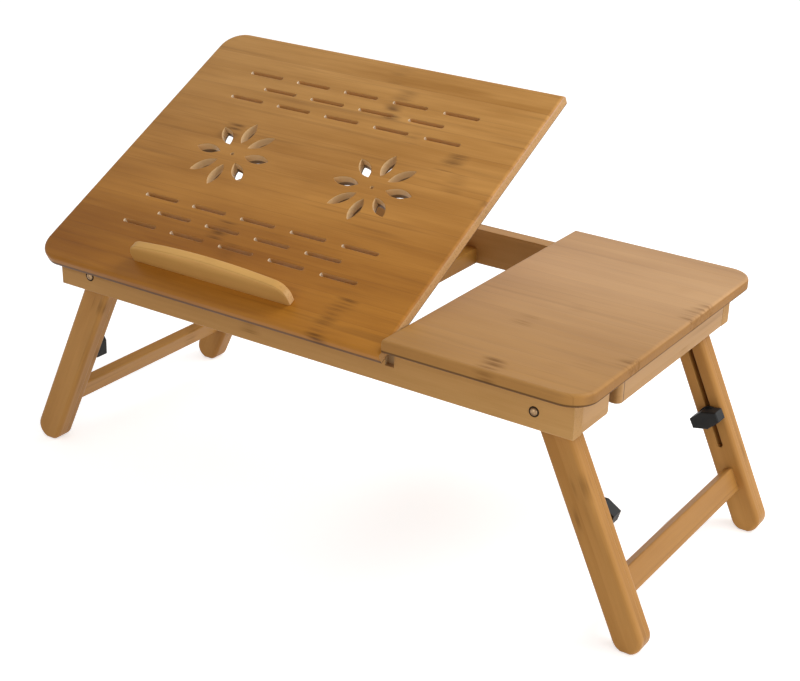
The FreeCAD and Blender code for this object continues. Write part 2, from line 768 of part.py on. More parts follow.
def make_prop():
    """The prop: two arms on a rod that turns in blocks under the tilting top and stands on the racks."""
    reach, drop = cell("prop_reach"), -cell("prop_drop")
    half, thickness = cell("prop_half"), cell("prop_thickness")
    rod_radius = cell("prop_rod_radius")
    pivot_back, pivot_up = on_tilt(reach, drop)
    run = cell("prop_foot_back") - pivot_back
    rise = rack_top + cell("prop_foot_clearance") + half - pivot_up
    length = root(run * run + rise * rise)
    slope = direction(rise, run)
    left, right = rack_x, cross_rail_x
    for label, x in (("prop_arm_left", left), ("prop_arm_right", right)):
        arm = new_body(label)
        sketch = new_sketch(arm, "YZ_Plane")
        draw_bar(sketch, ZERO, length, half)
        pad(arm, sketch, thickness)
        bore = new_sketch(arm, "YZ_Plane")
        draw_circle(bore, ZERO, ZERO, rod_radius)
        cut(arm, bore, along=True)
        place(arm, x - thickness / 2, pivot_back, pivot_up, "x", slope)
        node(arm)
    rod = new_body("prop_rod")
    sketch = new_sketch(rod, "YZ_Plane")
    draw_circle(sketch, ZERO, ZERO, rod_radius)
    pad(rod, sketch, right - left + thickness)
    place(rod, left - thickness / 2, pivot_back, pivot_up, "x", slope)
    node(rod)

    width, round_half = cell("prop_block_width"), cell("prop_block_half")
    inset = thickness / 2 + cell("prop_block_gap")
    seat = hinge_drop - drop
    for label, x in (("prop_block_left", left + inset), ("prop_block_right", right - inset - width)):
        block = new_body(label)
        sketch = new_sketch(block, "YZ_Plane")
        draw_outline(
            sketch,
            [
                (-round_half, ZERO, round_half, 1),
                (ZERO, -round_half, round_half, 1),
                (round_half, ZERO),
                (round_half, seat),
                (-round_half, seat),
            ],
        )
        pad(block, sketch, width)
        bore = new_sketch(block, "YZ_Plane")
        draw_circle(bore, ZERO, ZERO, rod_radius + cell("pin_clearance"))
        cut(block, bore, along=True)
        place_on_tilt(block, x, reach, drop)
        node(block)


# Depths of a front leg's layers, counted from the middle of the table towards the front
leg_face = cell("leg_gap") - inside
groove_depth = cell("bar_thickness") + cell("bar_clearance") * 2
joint_face = leg_face + cell("leg_outer")
bar_face = joint_face - groove_depth + cell("bar_clearance")
leg_back = joint_face + cell("leg_inner")
washer_face = leg_back + cell("washer_clearance")
knob_face = washer_face + cell("washer_thickness") + cell("washer_clearance")
foot_radius = cell("leg_width") / 2
foot_reach = (pivot_z - foot_radius + cell("foot_flat")) / cosine(lean)
clamp_reach = foot_reach * cell("clamp_share")
bar_length = clamp_reach + cell("bar_end")
crossbar_reach = foot_reach - cell("crossbar_rise")


def place_on_leg(item, reach, y, angle=None):
    """Puts an object on the right legs' line, that far from the pivot, leaning with the leg."""
    place(item, pivot_x + reach * sine(lean), y, pivot_z - reach * cosine(lean), "y", -(angle or lean))


def draw_leg(sketch):
    """The outline of a leg board: eased upper corners and a round foot with a small flat."""
    half, top, corner = foot_radius, -cell("leg_top"), cell("leg_top_corner")
    bottom = half - cell("foot_flat")
    chord = root(half * half - bottom * bottom)
    flat_x, flat_z = -(bottom * sine(lean)), -foot_reach - bottom * cosine(lean)
    along_x, along_z = chord * cosine(lean), -(chord * sine(lean))
    draw_outline(
        sketch,
        [
            (-half, -foot_reach, half, 1),
            (flat_x - along_x, flat_z - along_z),
            (flat_x + along_x, flat_z + along_z, half, 1),
            (half, -foot_reach),
            (half, top - corner, corner, 1),
            (half - corner, top),
            (corner - half, top, corner, 1),
            (-half, top - corner),
        ],
    )


def make_legs():
    """The four legs: two glued boards each, the bar that slides between them, and the crossbars."""
    outer = new_body("right_front_leg_outer")
    sketch = new_sketch(outer, "XZ_Plane")
    draw_leg(sketch)
    pad(outer, sketch, cell("leg_outer"), back=True)
    groove = new_sketch(outer, "XZ_Plane", offset=-cell("leg_outer"))
    groove_half = cell("bar_width") / 2 + cell("bar_side_clearance")
    draw_box(groove, -groove_half, -(bar_length + cell("bar_side_clearance")), groove_half, ZERO)
    cut(outer, groove, groove_depth, along=True)
    round_edges(outer, cell("leg_round"), lambda at, along: near(at.y, ZERO) and abs(at.x) > 1)
    place_on_leg(outer, ZERO, leg_face)

    inner = new_body("right_front_leg_inner")
    sketch = new_sketch(inner, "XZ_Plane")
    draw_leg(sketch)
    pad(inner, sketch, cell("leg_inner"), back=True)
    slot = new_sketch(inner, "XZ_Plane")
    slot_half = cell("leg_slot_width") / 2
    slot_top = foot_reach * cell("travel_share") - clamp_reach
    slot_bottom = -(clamp_reach + foot_reach * cell("slot_spare_share"))
    draw_upright_slot(slot, slot_bottom, slot_top, slot_half)
    cut(inner, slot)
    mortise = new_sketch(inner, "XZ_Plane")
    draw_crossbar(mortise, cell("tenon_shoulder"))
    cut(inner, mortise)
    face = cell("leg_inner")
    round_edges(inner, cell("leg_round"), lambda at, along: near(at.y, face) and is_leg_edge(at))
    place_on_leg(inner, ZERO, joint_face)

    bar = new_body("right_front_leg_bar")
    sketch = new_sketch(bar, "XZ_Plane")
    half = cell("bar_width") / 2
    draw_outline(
        sketch,
        [
            (-half, -bar_length),
            (half, -bar_length),
            (half, ZERO, half, 1),
            (ZERO, half, half, 1),
            (-half, ZERO),
        ],
    )
    pad(bar, sketch, cell("bar_thickness"), back=True)
    bores = new_sketch(bar, "XZ_Plane")
    draw_circle(bores, ZERO, ZERO, cell("pivot_radius") + cell("pin_clearance"))
    draw_circle(bores, ZERO, -clamp_reach, cell("clamp_radius"))
    cut(bar, bores)
    sink = new_sketch(bar, "XZ_Plane")
    draw_circle(sink, ZERO, -clamp_reach, cell("clamp_head_radius") + cell("clamp_head_clearance"))
    cut(bar, sink, cell("clamp_head_height") + cell("clamp_head_clearance"))
    place_on_leg(bar, ZERO, bar_face)

    crossbar = new_body("right_crossbar")
    sketch = new_sketch(crossbar, "XZ_Plane")
    draw_crossbar(sketch, ZERO)
    pad(crossbar, sketch, -(leg_back * 2), back=True)
    round_edges(crossbar, wood_round, lambda at, along: abs(along.y) > 0.9)
    tenon = new_sketch(crossbar, "XZ_Plane", offset=cell("leg_inner"))
    draw_crossbar(tenon, cell("tenon_shoulder"))
    pad(crossbar, tenon, cell("leg_inner") * 2 - leg_back * 2, back=True)
    place_on_leg(crossbar, ZERO, leg_back)
    node(crossbar)
    node(mirrored(crossbar, "left_crossbar", "x"))
    for body in (outer, inner, bar):
        four_corners(body)


def draw_upright_slot(sketch, bottom, top, half):
    """A slot with round ends along the sketch's second axis."""
    draw_outline(
        sketch,
        [
            (-half, bottom, half, 1),
            (ZERO, bottom - half, half, 1),
            (half, bottom),
            (half, top, half, 1),
            (ZERO, top + half, half, 1),
            (-half, top),
        ],
    )


def draw_crossbar(sketch, shoulder):
    """The section of a crossbar, or of its tenon inside a shoulder."""
    across = cell("crossbar_thickness") / 2 - shoulder
    along = cell("crossbar_height") / 2 - shoulder
    middle = -crossbar_reach
    draw_box(sketch, -across, middle - along, across, middle + along)


def is_leg_edge(at):
    """Whether a point lies on the outside of a leg's outline."""
    wide = foot_radius.number
    if at.z > -foot_reach.number:
        return abs(at.x) > wide - cell("leg_top_corner").number or near(at.z, -cell("leg_top"))
    return math.hypot(at.x, at.z + foot_reach.number) > wide - 2 * cell("foot_flat").number


def four_corners(body):
    """Lists a right front piece and its images at the other three corners of the table."""
    name = body.Label.replace("right_front_", "")
    node(body)
    node(mirrored(body, f"right_back_{name}", "y"))
    left = node(mirrored(body, f"left_front_{name}", "x"))
    node(mirrored(left, f"left_back_{name}", "y"))


def all_corners(body, label):
    """One node of four equal fasteners, from the one at the right front."""
    back = mirrored(body, f"{label}_back", "y")
    right = joined(f"{label}_right", [body, back])
    left = mirrored(right, f"{label}_left", "x")
    node(joined(label, [right, left]))


def make_leg_pivots():
    """The pivot bolts with domed heads on the rails, their spacers and nuts."""
    radius = cell("pivot_radius")
    bar_back = bar_face + cell("bar_thickness")
    nut_face = bar_back + cell("spacer_clearance")
    tip = nut_face + cell("nut_height") + cell("bolt_tip") + frame_side

    bolt = new_body("pivot_bolt")
    sketch = new_sketch(bolt, "XY_Plane")
    wide, high = cell("pivot_head_radius"), cell("pivot_head_height")
    dome = (wide * wide + high * high) / (high * 2)
    draw_outline(
        sketch,
        [(ZERO, -high, dome, 1), (wide, ZERO), (radius, ZERO), (radius, tip), (ZERO, tip)],
    )
    revolve(bolt, sketch)
    place(bolt, pivot_x, -frame_side, pivot_z)
    all_corners(bolt, "leg_pivot_bolts")

    spacer = new_body("pivot_spacer")
    sketch = new_sketch(spacer, "XZ_Plane")
    draw_circle(sketch, ZERO, ZERO, cell("spacer_radius"))
    draw_circle(sketch, ZERO, ZERO, radius)
    pad(spacer, sketch, bar_face + inside - cell("spacer_clearance"), back=True)
    place(spacer, pivot_x, -inside, pivot_z)
    all_corners(spacer, "leg_pivot_spacers")

    nut = new_body("pivot_nut")
    sketch = new_sketch(nut, "XZ_Plane")
    flat = cell("nut_across") / 2
    corner = flat / cosine(as_size(30))
    draw_outline(
        sketch,
        [
            (ZERO, -corner),
            (flat, -(corner / 2)),
            (flat, corner / 2),
            (ZERO, corner),
            (-flat, corner / 2),
            (-flat, -(corner / 2)),
        ],
    )
    draw_circle(sketch, ZERO, ZERO, radius)
    pad(nut, sketch, cell("nut_height"), back=True)
    place(nut, pivot_x, nut_face, pivot_z)
    all_corners(nut, "leg_pivot_nuts")


def make_clamps():
    """The clamp bolts in the sliding bars, and the washers under their knobs."""
    radius = cell("clamp_radius")
    wide, high = cell("clamp_head_radius"), cell("clamp_head_height")
    head_face = bar_face + cell("clamp_head_clearance")
    tip = knob_face + cell("knob_bore_depth") - head_face - cell("bolt_tip")
    bolt = new_body("clamp_bolt")
    sketch = new_sketch(bolt, "XY_Plane")
    draw_outline(
        sketch,
        [(ZERO, ZERO), (wide, ZERO), (wide, high), (radius, high), (radius, tip), (ZERO, tip)],
    )
    revolve(bolt, sketch)
    place_on_leg(bolt, clamp_reach, head_face)

    washer = new_body("clamp_washer")
    sketch = new_sketch(washer, "XZ_Plane")
    draw_circle(sketch, ZERO, ZERO, cell("washer_radius"))
    draw_circle(sketch, ZERO, ZERO, radius)
    pad(washer, sketch, cell("washer_thickness"), back=True)
    place_on_leg(washer, clamp_reach, washer_face)
    for piece, label in ((bolt, "clamp_bolts"), (washer, "clamp_washers")):
        right = node(joined(f"right_{label}", [piece, mirrored(piece, f"{label}_back", "y")]))
        node(mirrored(right, f"left_{label}", "x"))


def make_knobs():
    """The six-sided wing knobs on the legs' inner faces, each turned as it was left."""
    reach, middle, tip = cell("knob_length") / 2, cell("knob_width") / 2, cell("knob_tip") / 2
    height = cell("knob_height")
    corners = (("right_front", ""), ("right_back", "y"), ("left_front", "x"), ("left_back", "xy"))
    for corner, axes in corners:
        knob = new_body(f"{corner}_wing")
        sketch = new_sketch(knob, "XZ_Plane")
        draw_outline(
            sketch,
            [(-reach, -tip), (ZERO, -middle), (reach, -tip), (reach, tip), (ZERO, middle), (-reach, tip)],
        )
        pad(knob, sketch, height, back=True)
        round_edges(knob, cell("knob_round"), lambda at, along: near(at.y, height))
        flange = new_sketch(knob, "XZ_Plane")
        draw_circle(flange, ZERO, ZERO, cell("knob_flange_radius"))
        pad(knob, flange, cell("knob_flange_height"), back=True)
        bore = new_sketch(knob, "XZ_Plane")
        draw_circle(bore, ZERO, ZERO, cell("clamp_radius") + cell("pin_clearance"))
        cut(knob, bore, cell("knob_bore_depth"))
        place_on_leg(knob, clamp_reach, knob_face, cell(f"{corner}_knob_angle"))
        for axis in axes:
            knob = mirrored(knob, f"{corner}_knob_across_{axis}", axis)
        node(knob, f"{corner}_knob")


def make_drawer():
    """The drawer, the guides it runs on and the stop rail behind it, all under the fixed top."""
    gap_end = cell("end_block_length") - inside + cell("finger_gap")
    front, back = gap_end + cell("drawer_side_inset"), inside - cell("drawer_back_inset")
    left, wall = fixed_left + cell("drawer_left_inset"), cell("drawer_wall")
    low = underside + cell("drawer_lift")
    rise = (low, low + cell("drawer_height"))
    margin, clearance = cell("drawer_front_margin"), cell("drawer_clearance")
    face = new_body("drawer_front")
    sketch = new_sketch(face, "XY_Plane")
    draw_box(sketch, ZERO, ZERO, cell("end_thickness"), inside - margin - gap_end)
    pad(face, sketch, rail_height - margin * 2)
    round_edges(face, cell("end_round"), lambda at, along: near(at.y, ZERO) and abs(along.z) > 0.9)
    place(face, end_inner, gap_end, underside + margin)
    node(face)
    board("drawer_side_front", (left, end_inner), (front, front + wall), rise)
    board("drawer_side_back", (left, end_inner), (back - wall, back), rise)
    board("drawer_back", (left, left + wall), (front + wall, back - wall), rise)
    floor = (low, low + cell("drawer_bottom"))
    board("drawer_bottom_board", (left + wall, end_inner), (front + wall, back - wall), floor)

    web, flange, reach = cell("guide_web"), cell("guide_flange"), cell("guide_reach")
    run = end_inner - cell("guide_end_gap") - left
    flange_top = low - clearance
    guides = (("drawer_guide_front", front - clearance, 1), ("drawer_guide_back", back + clearance, -1))
    for label, edge, side in guides:
        guide = new_body(label)
        sketch = new_sketch(guide, "YZ_Plane")
        bottom = flange_top - flange - rail_top
        corners = [
            (-web * side, bottom),
            (reach * side, bottom),
            (reach * side, bottom + flange),
            (ZERO, bottom + flange),
            (ZERO, ZERO),
            (-web * side, ZERO),
        ]
        draw_outline(sketch, corners)
        pad(guide, sketch, run)
        place(guide, left, edge, rail_top)
        node(guide)
    stop_right = left - cell("stop_gap")
    stop = (stop_right - cell("stop_thickness"), stop_right)
    board("drawer_stop_rail", stop, (front - web, back + web), (rail_top - cell("stop_height"), rail_top))


def check_document():
    """Stops if any object failed to build."""
    doc.recompute()
    for item in doc.Objects:
        if {"Invalid", "Error"} & set(item.State):
            raise RuntimeError(f"{item.Label} failed: {item.State}")
    for label, item in NODES.items():
        if item.Shape.isNull() or not item.Shape.isValid() or not item.Shape.Solids:
            raise RuntimeError(f"{label} has no valid solid")


def main():
    """Builds the table and writes one file for each node."""
    make_rails()
    make_frame_boards()
    make_racks()
    make_tilting_top()
    make_ledge()
    make_bumpers()
    make_hinges()
    make_prop()
    make_legs()
    make_leg_pivots()
    make_clamps()
    make_knobs()
    make_drawer()
    check_document()
    os.makedirs("parts", exist_ok=True)
    for label, item in NODES.items():
        item.Shape.exportStep(f"parts/{label}.step")
    print(len(NODES), "nodes")


main()
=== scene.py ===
"""Looks of the folding laptop table: finishes for the solids, small hardware, camera and light."""

import json
import logging
import math
from dataclasses import dataclass, replace
from enum import Enum

import bpy
from mathutils import Euler, Matrix, Vector

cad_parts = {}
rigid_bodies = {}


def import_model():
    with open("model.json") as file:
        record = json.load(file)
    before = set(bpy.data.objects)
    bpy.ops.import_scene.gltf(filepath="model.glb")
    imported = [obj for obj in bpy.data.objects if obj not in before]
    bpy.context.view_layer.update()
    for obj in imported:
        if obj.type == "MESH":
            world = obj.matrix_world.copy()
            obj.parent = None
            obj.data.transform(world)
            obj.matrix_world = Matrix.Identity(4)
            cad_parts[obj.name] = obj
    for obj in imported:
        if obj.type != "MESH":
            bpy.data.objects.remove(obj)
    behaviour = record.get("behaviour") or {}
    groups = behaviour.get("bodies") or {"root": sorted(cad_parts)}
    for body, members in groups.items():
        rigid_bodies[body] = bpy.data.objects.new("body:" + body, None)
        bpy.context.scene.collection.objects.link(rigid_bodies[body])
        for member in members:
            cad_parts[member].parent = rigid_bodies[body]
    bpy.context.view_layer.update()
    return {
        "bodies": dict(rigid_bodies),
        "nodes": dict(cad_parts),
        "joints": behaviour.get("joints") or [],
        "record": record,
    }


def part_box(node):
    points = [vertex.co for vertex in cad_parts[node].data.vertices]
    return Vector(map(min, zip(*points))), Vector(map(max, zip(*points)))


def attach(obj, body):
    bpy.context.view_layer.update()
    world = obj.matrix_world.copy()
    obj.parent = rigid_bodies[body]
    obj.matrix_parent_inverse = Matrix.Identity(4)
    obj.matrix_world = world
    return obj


LOG = logging.getLogger("laptop_table")
MM = 0.001
HALF = 0.5
QUARTER_TURN = math.pi / 2
PATTERN_STEP = 0.731
WHITE = (1.0, 1.0, 1.0)

Colour = tuple[float, float, float]
Place = tuple[float, float, float]
Range = tuple[float, float]
Spot = tuple[Vector, Vector]
Socket = bpy.types.NodeSocket


class Lay(Enum):
    """The way a piece's fibres run."""

    LENGTHWISE = "lengthwise"
    CROSSWISE = "crosswise"
    TILTED = "tilted"
    RIGHT_LEG = "right_leg"
    LEFT_LEG = "left_leg"


class Blend(Enum):
    """How two colours are mixed."""

    MIX = "MIX"
    MULTIPLY = "MULTIPLY"
    SCREEN = "SCREEN"


class Leaf(Enum):
    """The two leaves of a hinge, by the body that carries each."""

    RAIL = "frame"
    TOP = "tilt"


class Survey:
    """Angles and places of the table at rest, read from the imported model."""

    def __init__(self, frame: dict) -> None:
        """Reads the joints and the solids.

        Args:
            frame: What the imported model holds.
        """
        self.joints: dict[str, dict] = {joint["name"]: joint for joint in frame["joints"]}
        self.solids: dict[str, bpy.types.Object] = frame["nodes"]
        tilt_hinge = self.joints["tilt_hinge"]
        self.hinge = Vector(tilt_hinge["pos_m"])
        # The hinge's lower limit is the flat top, so it gives the tilt at rest.
        self.tilt = -math.radians(tilt_hinge["range_deg"][0])

    def lean(self, side: str) -> float:
        """Angle of one pair of legs from upright, from the line along which it lengthens.

        Args:
            side: Which end of the table.

        Returns:
            The angle in radians, positive to the right.
        """
        x, _, z = self.joints[f"{side}_leg_length"]["axis"]
        return math.atan2(-x, z)

    def turn(self, lay: Lay) -> Euler:
        """Turn that brings a piece's fibres along X and its broad face level.

        Args:
            lay: The way the fibres run.

        Returns:
            The turn.
        """
        turns = {
            Lay.LENGTHWISE: (0.0, 0.0, 0.0),
            Lay.CROSSWISE: (0.0, 0.0, -QUARTER_TURN),
            Lay.TILTED: (-self.tilt, 0.0, 0.0),
            Lay.RIGHT_LEG: (0.0, self.lean("right") - QUARTER_TURN, 0.0),
            Lay.LEFT_LEG: (0.0, self.lean("left") - QUARTER_TURN, 0.0),
        }
        return Euler(turns[lay])

    def box(self, name: str, lay: Lay) -> tuple[Vector, Vector]:
        """A solid's box, squared to its fibres.

        Args:
            name: The solid.
            lay: The way its fibres run.

        Returns:
            The lowest and the highest corner.
        """
        turn = self.turn(lay).to_matrix()
        points = [turn @ vertex.co for vertex in self.solids[name].data.vertices]
        columns = list(zip(*points))
        low, high = ([edge(column) for column in columns] for edge in (min, max))
        return Vector(low), Vector(high)


@dataclass(frozen=True)
class Grain:
    """One scale of variation in a surface, in cells per metre along and across the fibres."""

    along: float
    across: float
    octaves: float = 3.0
    rough: float = 0.55
    weight: float = 0.0


class NodeDesk:
    """Short ways to add and join the nodes of one tree."""

    def __init__(self, tree: bpy.types.NodeTree) -> None:
        """Takes the tree to work on.

        Args:
            tree: A shader or geometry tree.
        """
        self.tree = tree

    def add(self, kind: str, **settings: object) -> bpy.types.Node:
        """Adds a node.

        Args:
            kind: The node's type name.
            **settings: Attributes set on the node.

        Returns:
            The new node.
        """
        made = self.tree.nodes.new(kind)
        for key, value in settings.items():
            setattr(made, key, value)
        return made

    def feed(self, socket: Socket, value: object) -> None:
        """Joins a socket to another one, or sets its value.

        Args:
            socket: The input to feed.
            value: An output socket, or a number, vector or colour.
        """
        if isinstance(value, Socket):
            self.tree.links.new(value, socket)
        else:
            socket.default_value = value

    def math(self, operation: str, *terms: object, clamp: bool = False) -> Socket:
        """Adds a sum on numbers.

        Args:
            operation: The Math node's operation.
            *terms: Sockets or numbers.
            clamp: Whether the result stays between 0 and 1.

        Returns:
            The result.
        """
        made = self.add("ShaderNodeMath", operation=operation, use_clamp=clamp)
        for socket, term in zip(made.inputs, terms):
            self.feed(socket, term)
        return made.outputs[0]

    def remainder(self, share: object) -> Socket:
        """What a share leaves of one."""
        return self.math("SUBTRACT", 1.0, share)

    def away(self, value: object, middle: float) -> Socket:
        """Distance of a number from a middle value."""
        return self.math("ABSOLUTE", self.math("SUBTRACT", value, middle))

    def swing(self, value: object, weight: float, base: object) -> Socket:
        """Moves a base up or down as a number goes above or below one half.

        Args:
            value: The number.
            weight: How far the base moves.
            base: Where it starts.

        Returns:
            The moved number.
        """
        return self.math("MULTIPLY_ADD", self.math("SUBTRACT", value, HALF), weight, base)

    def vector(self, operation: str, *terms: object) -> Socket:
        """Adds a sum on vectors.

        Args:
            operation: The Vector Math node's operation.
            *terms: Sockets or vectors.

        Returns:
            The result, a number for a dot product and otherwise a vector.
        """
        made = self.add("ShaderNodeVectorMath", operation=operation)
        for socket, term in zip(made.inputs, terms):
            self.feed(socket, term)
        return made.outputs["Value" if operation == "DOT_PRODUCT" else "Vector"]

    def axes(self, vector: object) -> list[Socket]:
        """Takes a vector apart.

        Args:
            vector: The vector.

        Returns:
            Its parts along X, Y and Z.
        """
        made = self.add("ShaderNodeSeparateXYZ")
        self.feed(made.inputs[0], vector)
        return list(made.outputs)

    def joined(self, *parts: object) -> Socket:
        """Puts a vector together.

        Args:
            *parts: Its parts along X, Y and Z.

        Returns:
            The vector.
        """
        made = self.add("ShaderNodeCombineXYZ")
        for socket, part in zip(made.inputs, parts):
            self.feed(socket, part)
        return made.outputs[0]

    def turned(self, vector: object, turn: Euler, kind: str = "POINT") -> Socket:
        """Turns a place or a direction.

        Args:
            vector: The place or direction.
            turn: The turn.
            kind: The Mapping node's vector type.

        Returns:
            The turned vector.
        """
        made = self.add("ShaderNodeMapping", vector_type=kind)
        self.feed(made.inputs["Vector"], vector)
        made.inputs["Rotation"].default_value = turn
        return made.outputs[0]

    def ramp(self, value: object, span: Range) -> Socket:
        """Smooth rise from 0 to 1 between two values.

        Args:
            value: The socket that rises.
            span: Where the rise starts and ends.

        Returns:
            A number from 0 to 1.
        """
        made = self.add("ShaderNodeMapRange", interpolation_type="SMOOTHSTEP")
        self.feed(made.inputs["Value"], value)
        made.inputs["From Min"].default_value, made.inputs["From Max"].default_value = span
        return made.outputs["Result"]

    def noise(self, place: object, grain: Grain) -> Socket:
        """Noise stretched along the fibres.

        Args:
            place: The position socket, in metres.
            grain: The scale of the noise.

        Returns:
            A number around 0.5.
        """
        made = self.add("ShaderNodeTexNoise")
        stretch = (grain.along, grain.across, grain.across)
        self.feed(made.inputs["Vector"], self.vector("MULTIPLY", place, stretch))
        made.inputs["Scale"].default_value = 1.0
        made.inputs["Detail"].default_value = grain.octaves
        made.inputs["Roughness"].default_value = grain.rough
        return made.outputs["Fac"]

    def chance(self, value: object) -> Socket:
        """A repeatable random number for each value.

        Args:
            value: The number that is looked up.

        Returns:
            A number from 0 to 1.
        """
        made = self.add("ShaderNodeTexWhiteNoise", noise_dimensions="1D")
        self.feed(made.inputs["W"], value)
        return made.outputs["Value"]

    def mix(
        self, share: object, first: object, second: object, blend: Blend = Blend.MIX
    ) -> Socket:
        """Mixes two colours.

        Args:
            share: How much of the second colour, held between 0 and 1.
            first: The first colour.
            second: The second colour.
            blend: How they are mixed.

        Returns:
            The mixed colour.
        """
        made = self.add("ShaderNodeMix", data_type="RGBA", blend_type=blend.value)
        # The node's colour sockets come after those for numbers and vectors.
        factor, first_colour, second_colour = (made.inputs[index] for index in (0, 6, 7))
        self.feed(factor, share)
        self.feed(first_colour, first)
        self.feed(second_colour, second)
        return made.outputs[2]

    def bump(self, height: object, strength: float, depth: float) -> bpy.types.Node:
        """Adds relief to a surface.

        Args:
            height: The relief, from 0 to 1.
            strength: How strongly it shows.
            depth: Its depth in metres.

        Returns:
            The bump node.
        """
        made = self.add("ShaderNodeBump")
        made.inputs["Strength"].default_value = strength
        made.inputs["Distance"].default_value = depth
        self.feed(made.inputs["Height"], height)
        return made

    def seen(self) -> Socket:
        """Tells the rays that show the background from those that light the table.

        Returns:
            1 for a ray from the camera, a mirror or glass, and 0 for any other.
        """
        ray = self.add("ShaderNodeLightPath").outputs
        direct = self.math("MAXIMUM", ray["Is Camera Ray"], ray["Is Glossy Ray"])
        return self.math("MAXIMUM", direct, ray["Is Transmission Ray"])


def opaque(colour: Colour) -> tuple[float, float, float, float]:
    """A colour with full cover."""
    return (*colour, 1.0)


def new_material(name: str) -> tuple[bpy.types.Material, NodeDesk, bpy.types.Node]:
    """A node material with an empty principled surface.

    Args:
        name: The material's name.

    Returns:
        The material, its node desk and the surface node.
    """
    made = bpy.data.materials.new(name)
    made.use_nodes = True
    desk = NodeDesk(made.node_tree)
    return made, desk, made.node_tree.nodes["Principled BSDF"]


def new_group(name: str, kind: str, inputs: dict[str, str], outputs: dict[str, str]) -> NodeDesk:
    """An empty node group with named sockets.

    Args:
        name: The group's name.
        kind: Shader or Geometry.
        inputs: The kinds of its inputs by name.
        outputs: The kinds of its outputs by name.

    Returns:
        A desk for its nodes.
    """
    tree = bpy.data.node_groups.new(name, f"{kind}NodeTree")
    for way, sockets in (("INPUT", inputs), ("OUTPUT", outputs)):
        for label, socket in sockets.items():
            tree.interface.new_socket(label, in_out=way, socket_type=f"NodeSocket{socket}")
    return NodeDesk(tree)


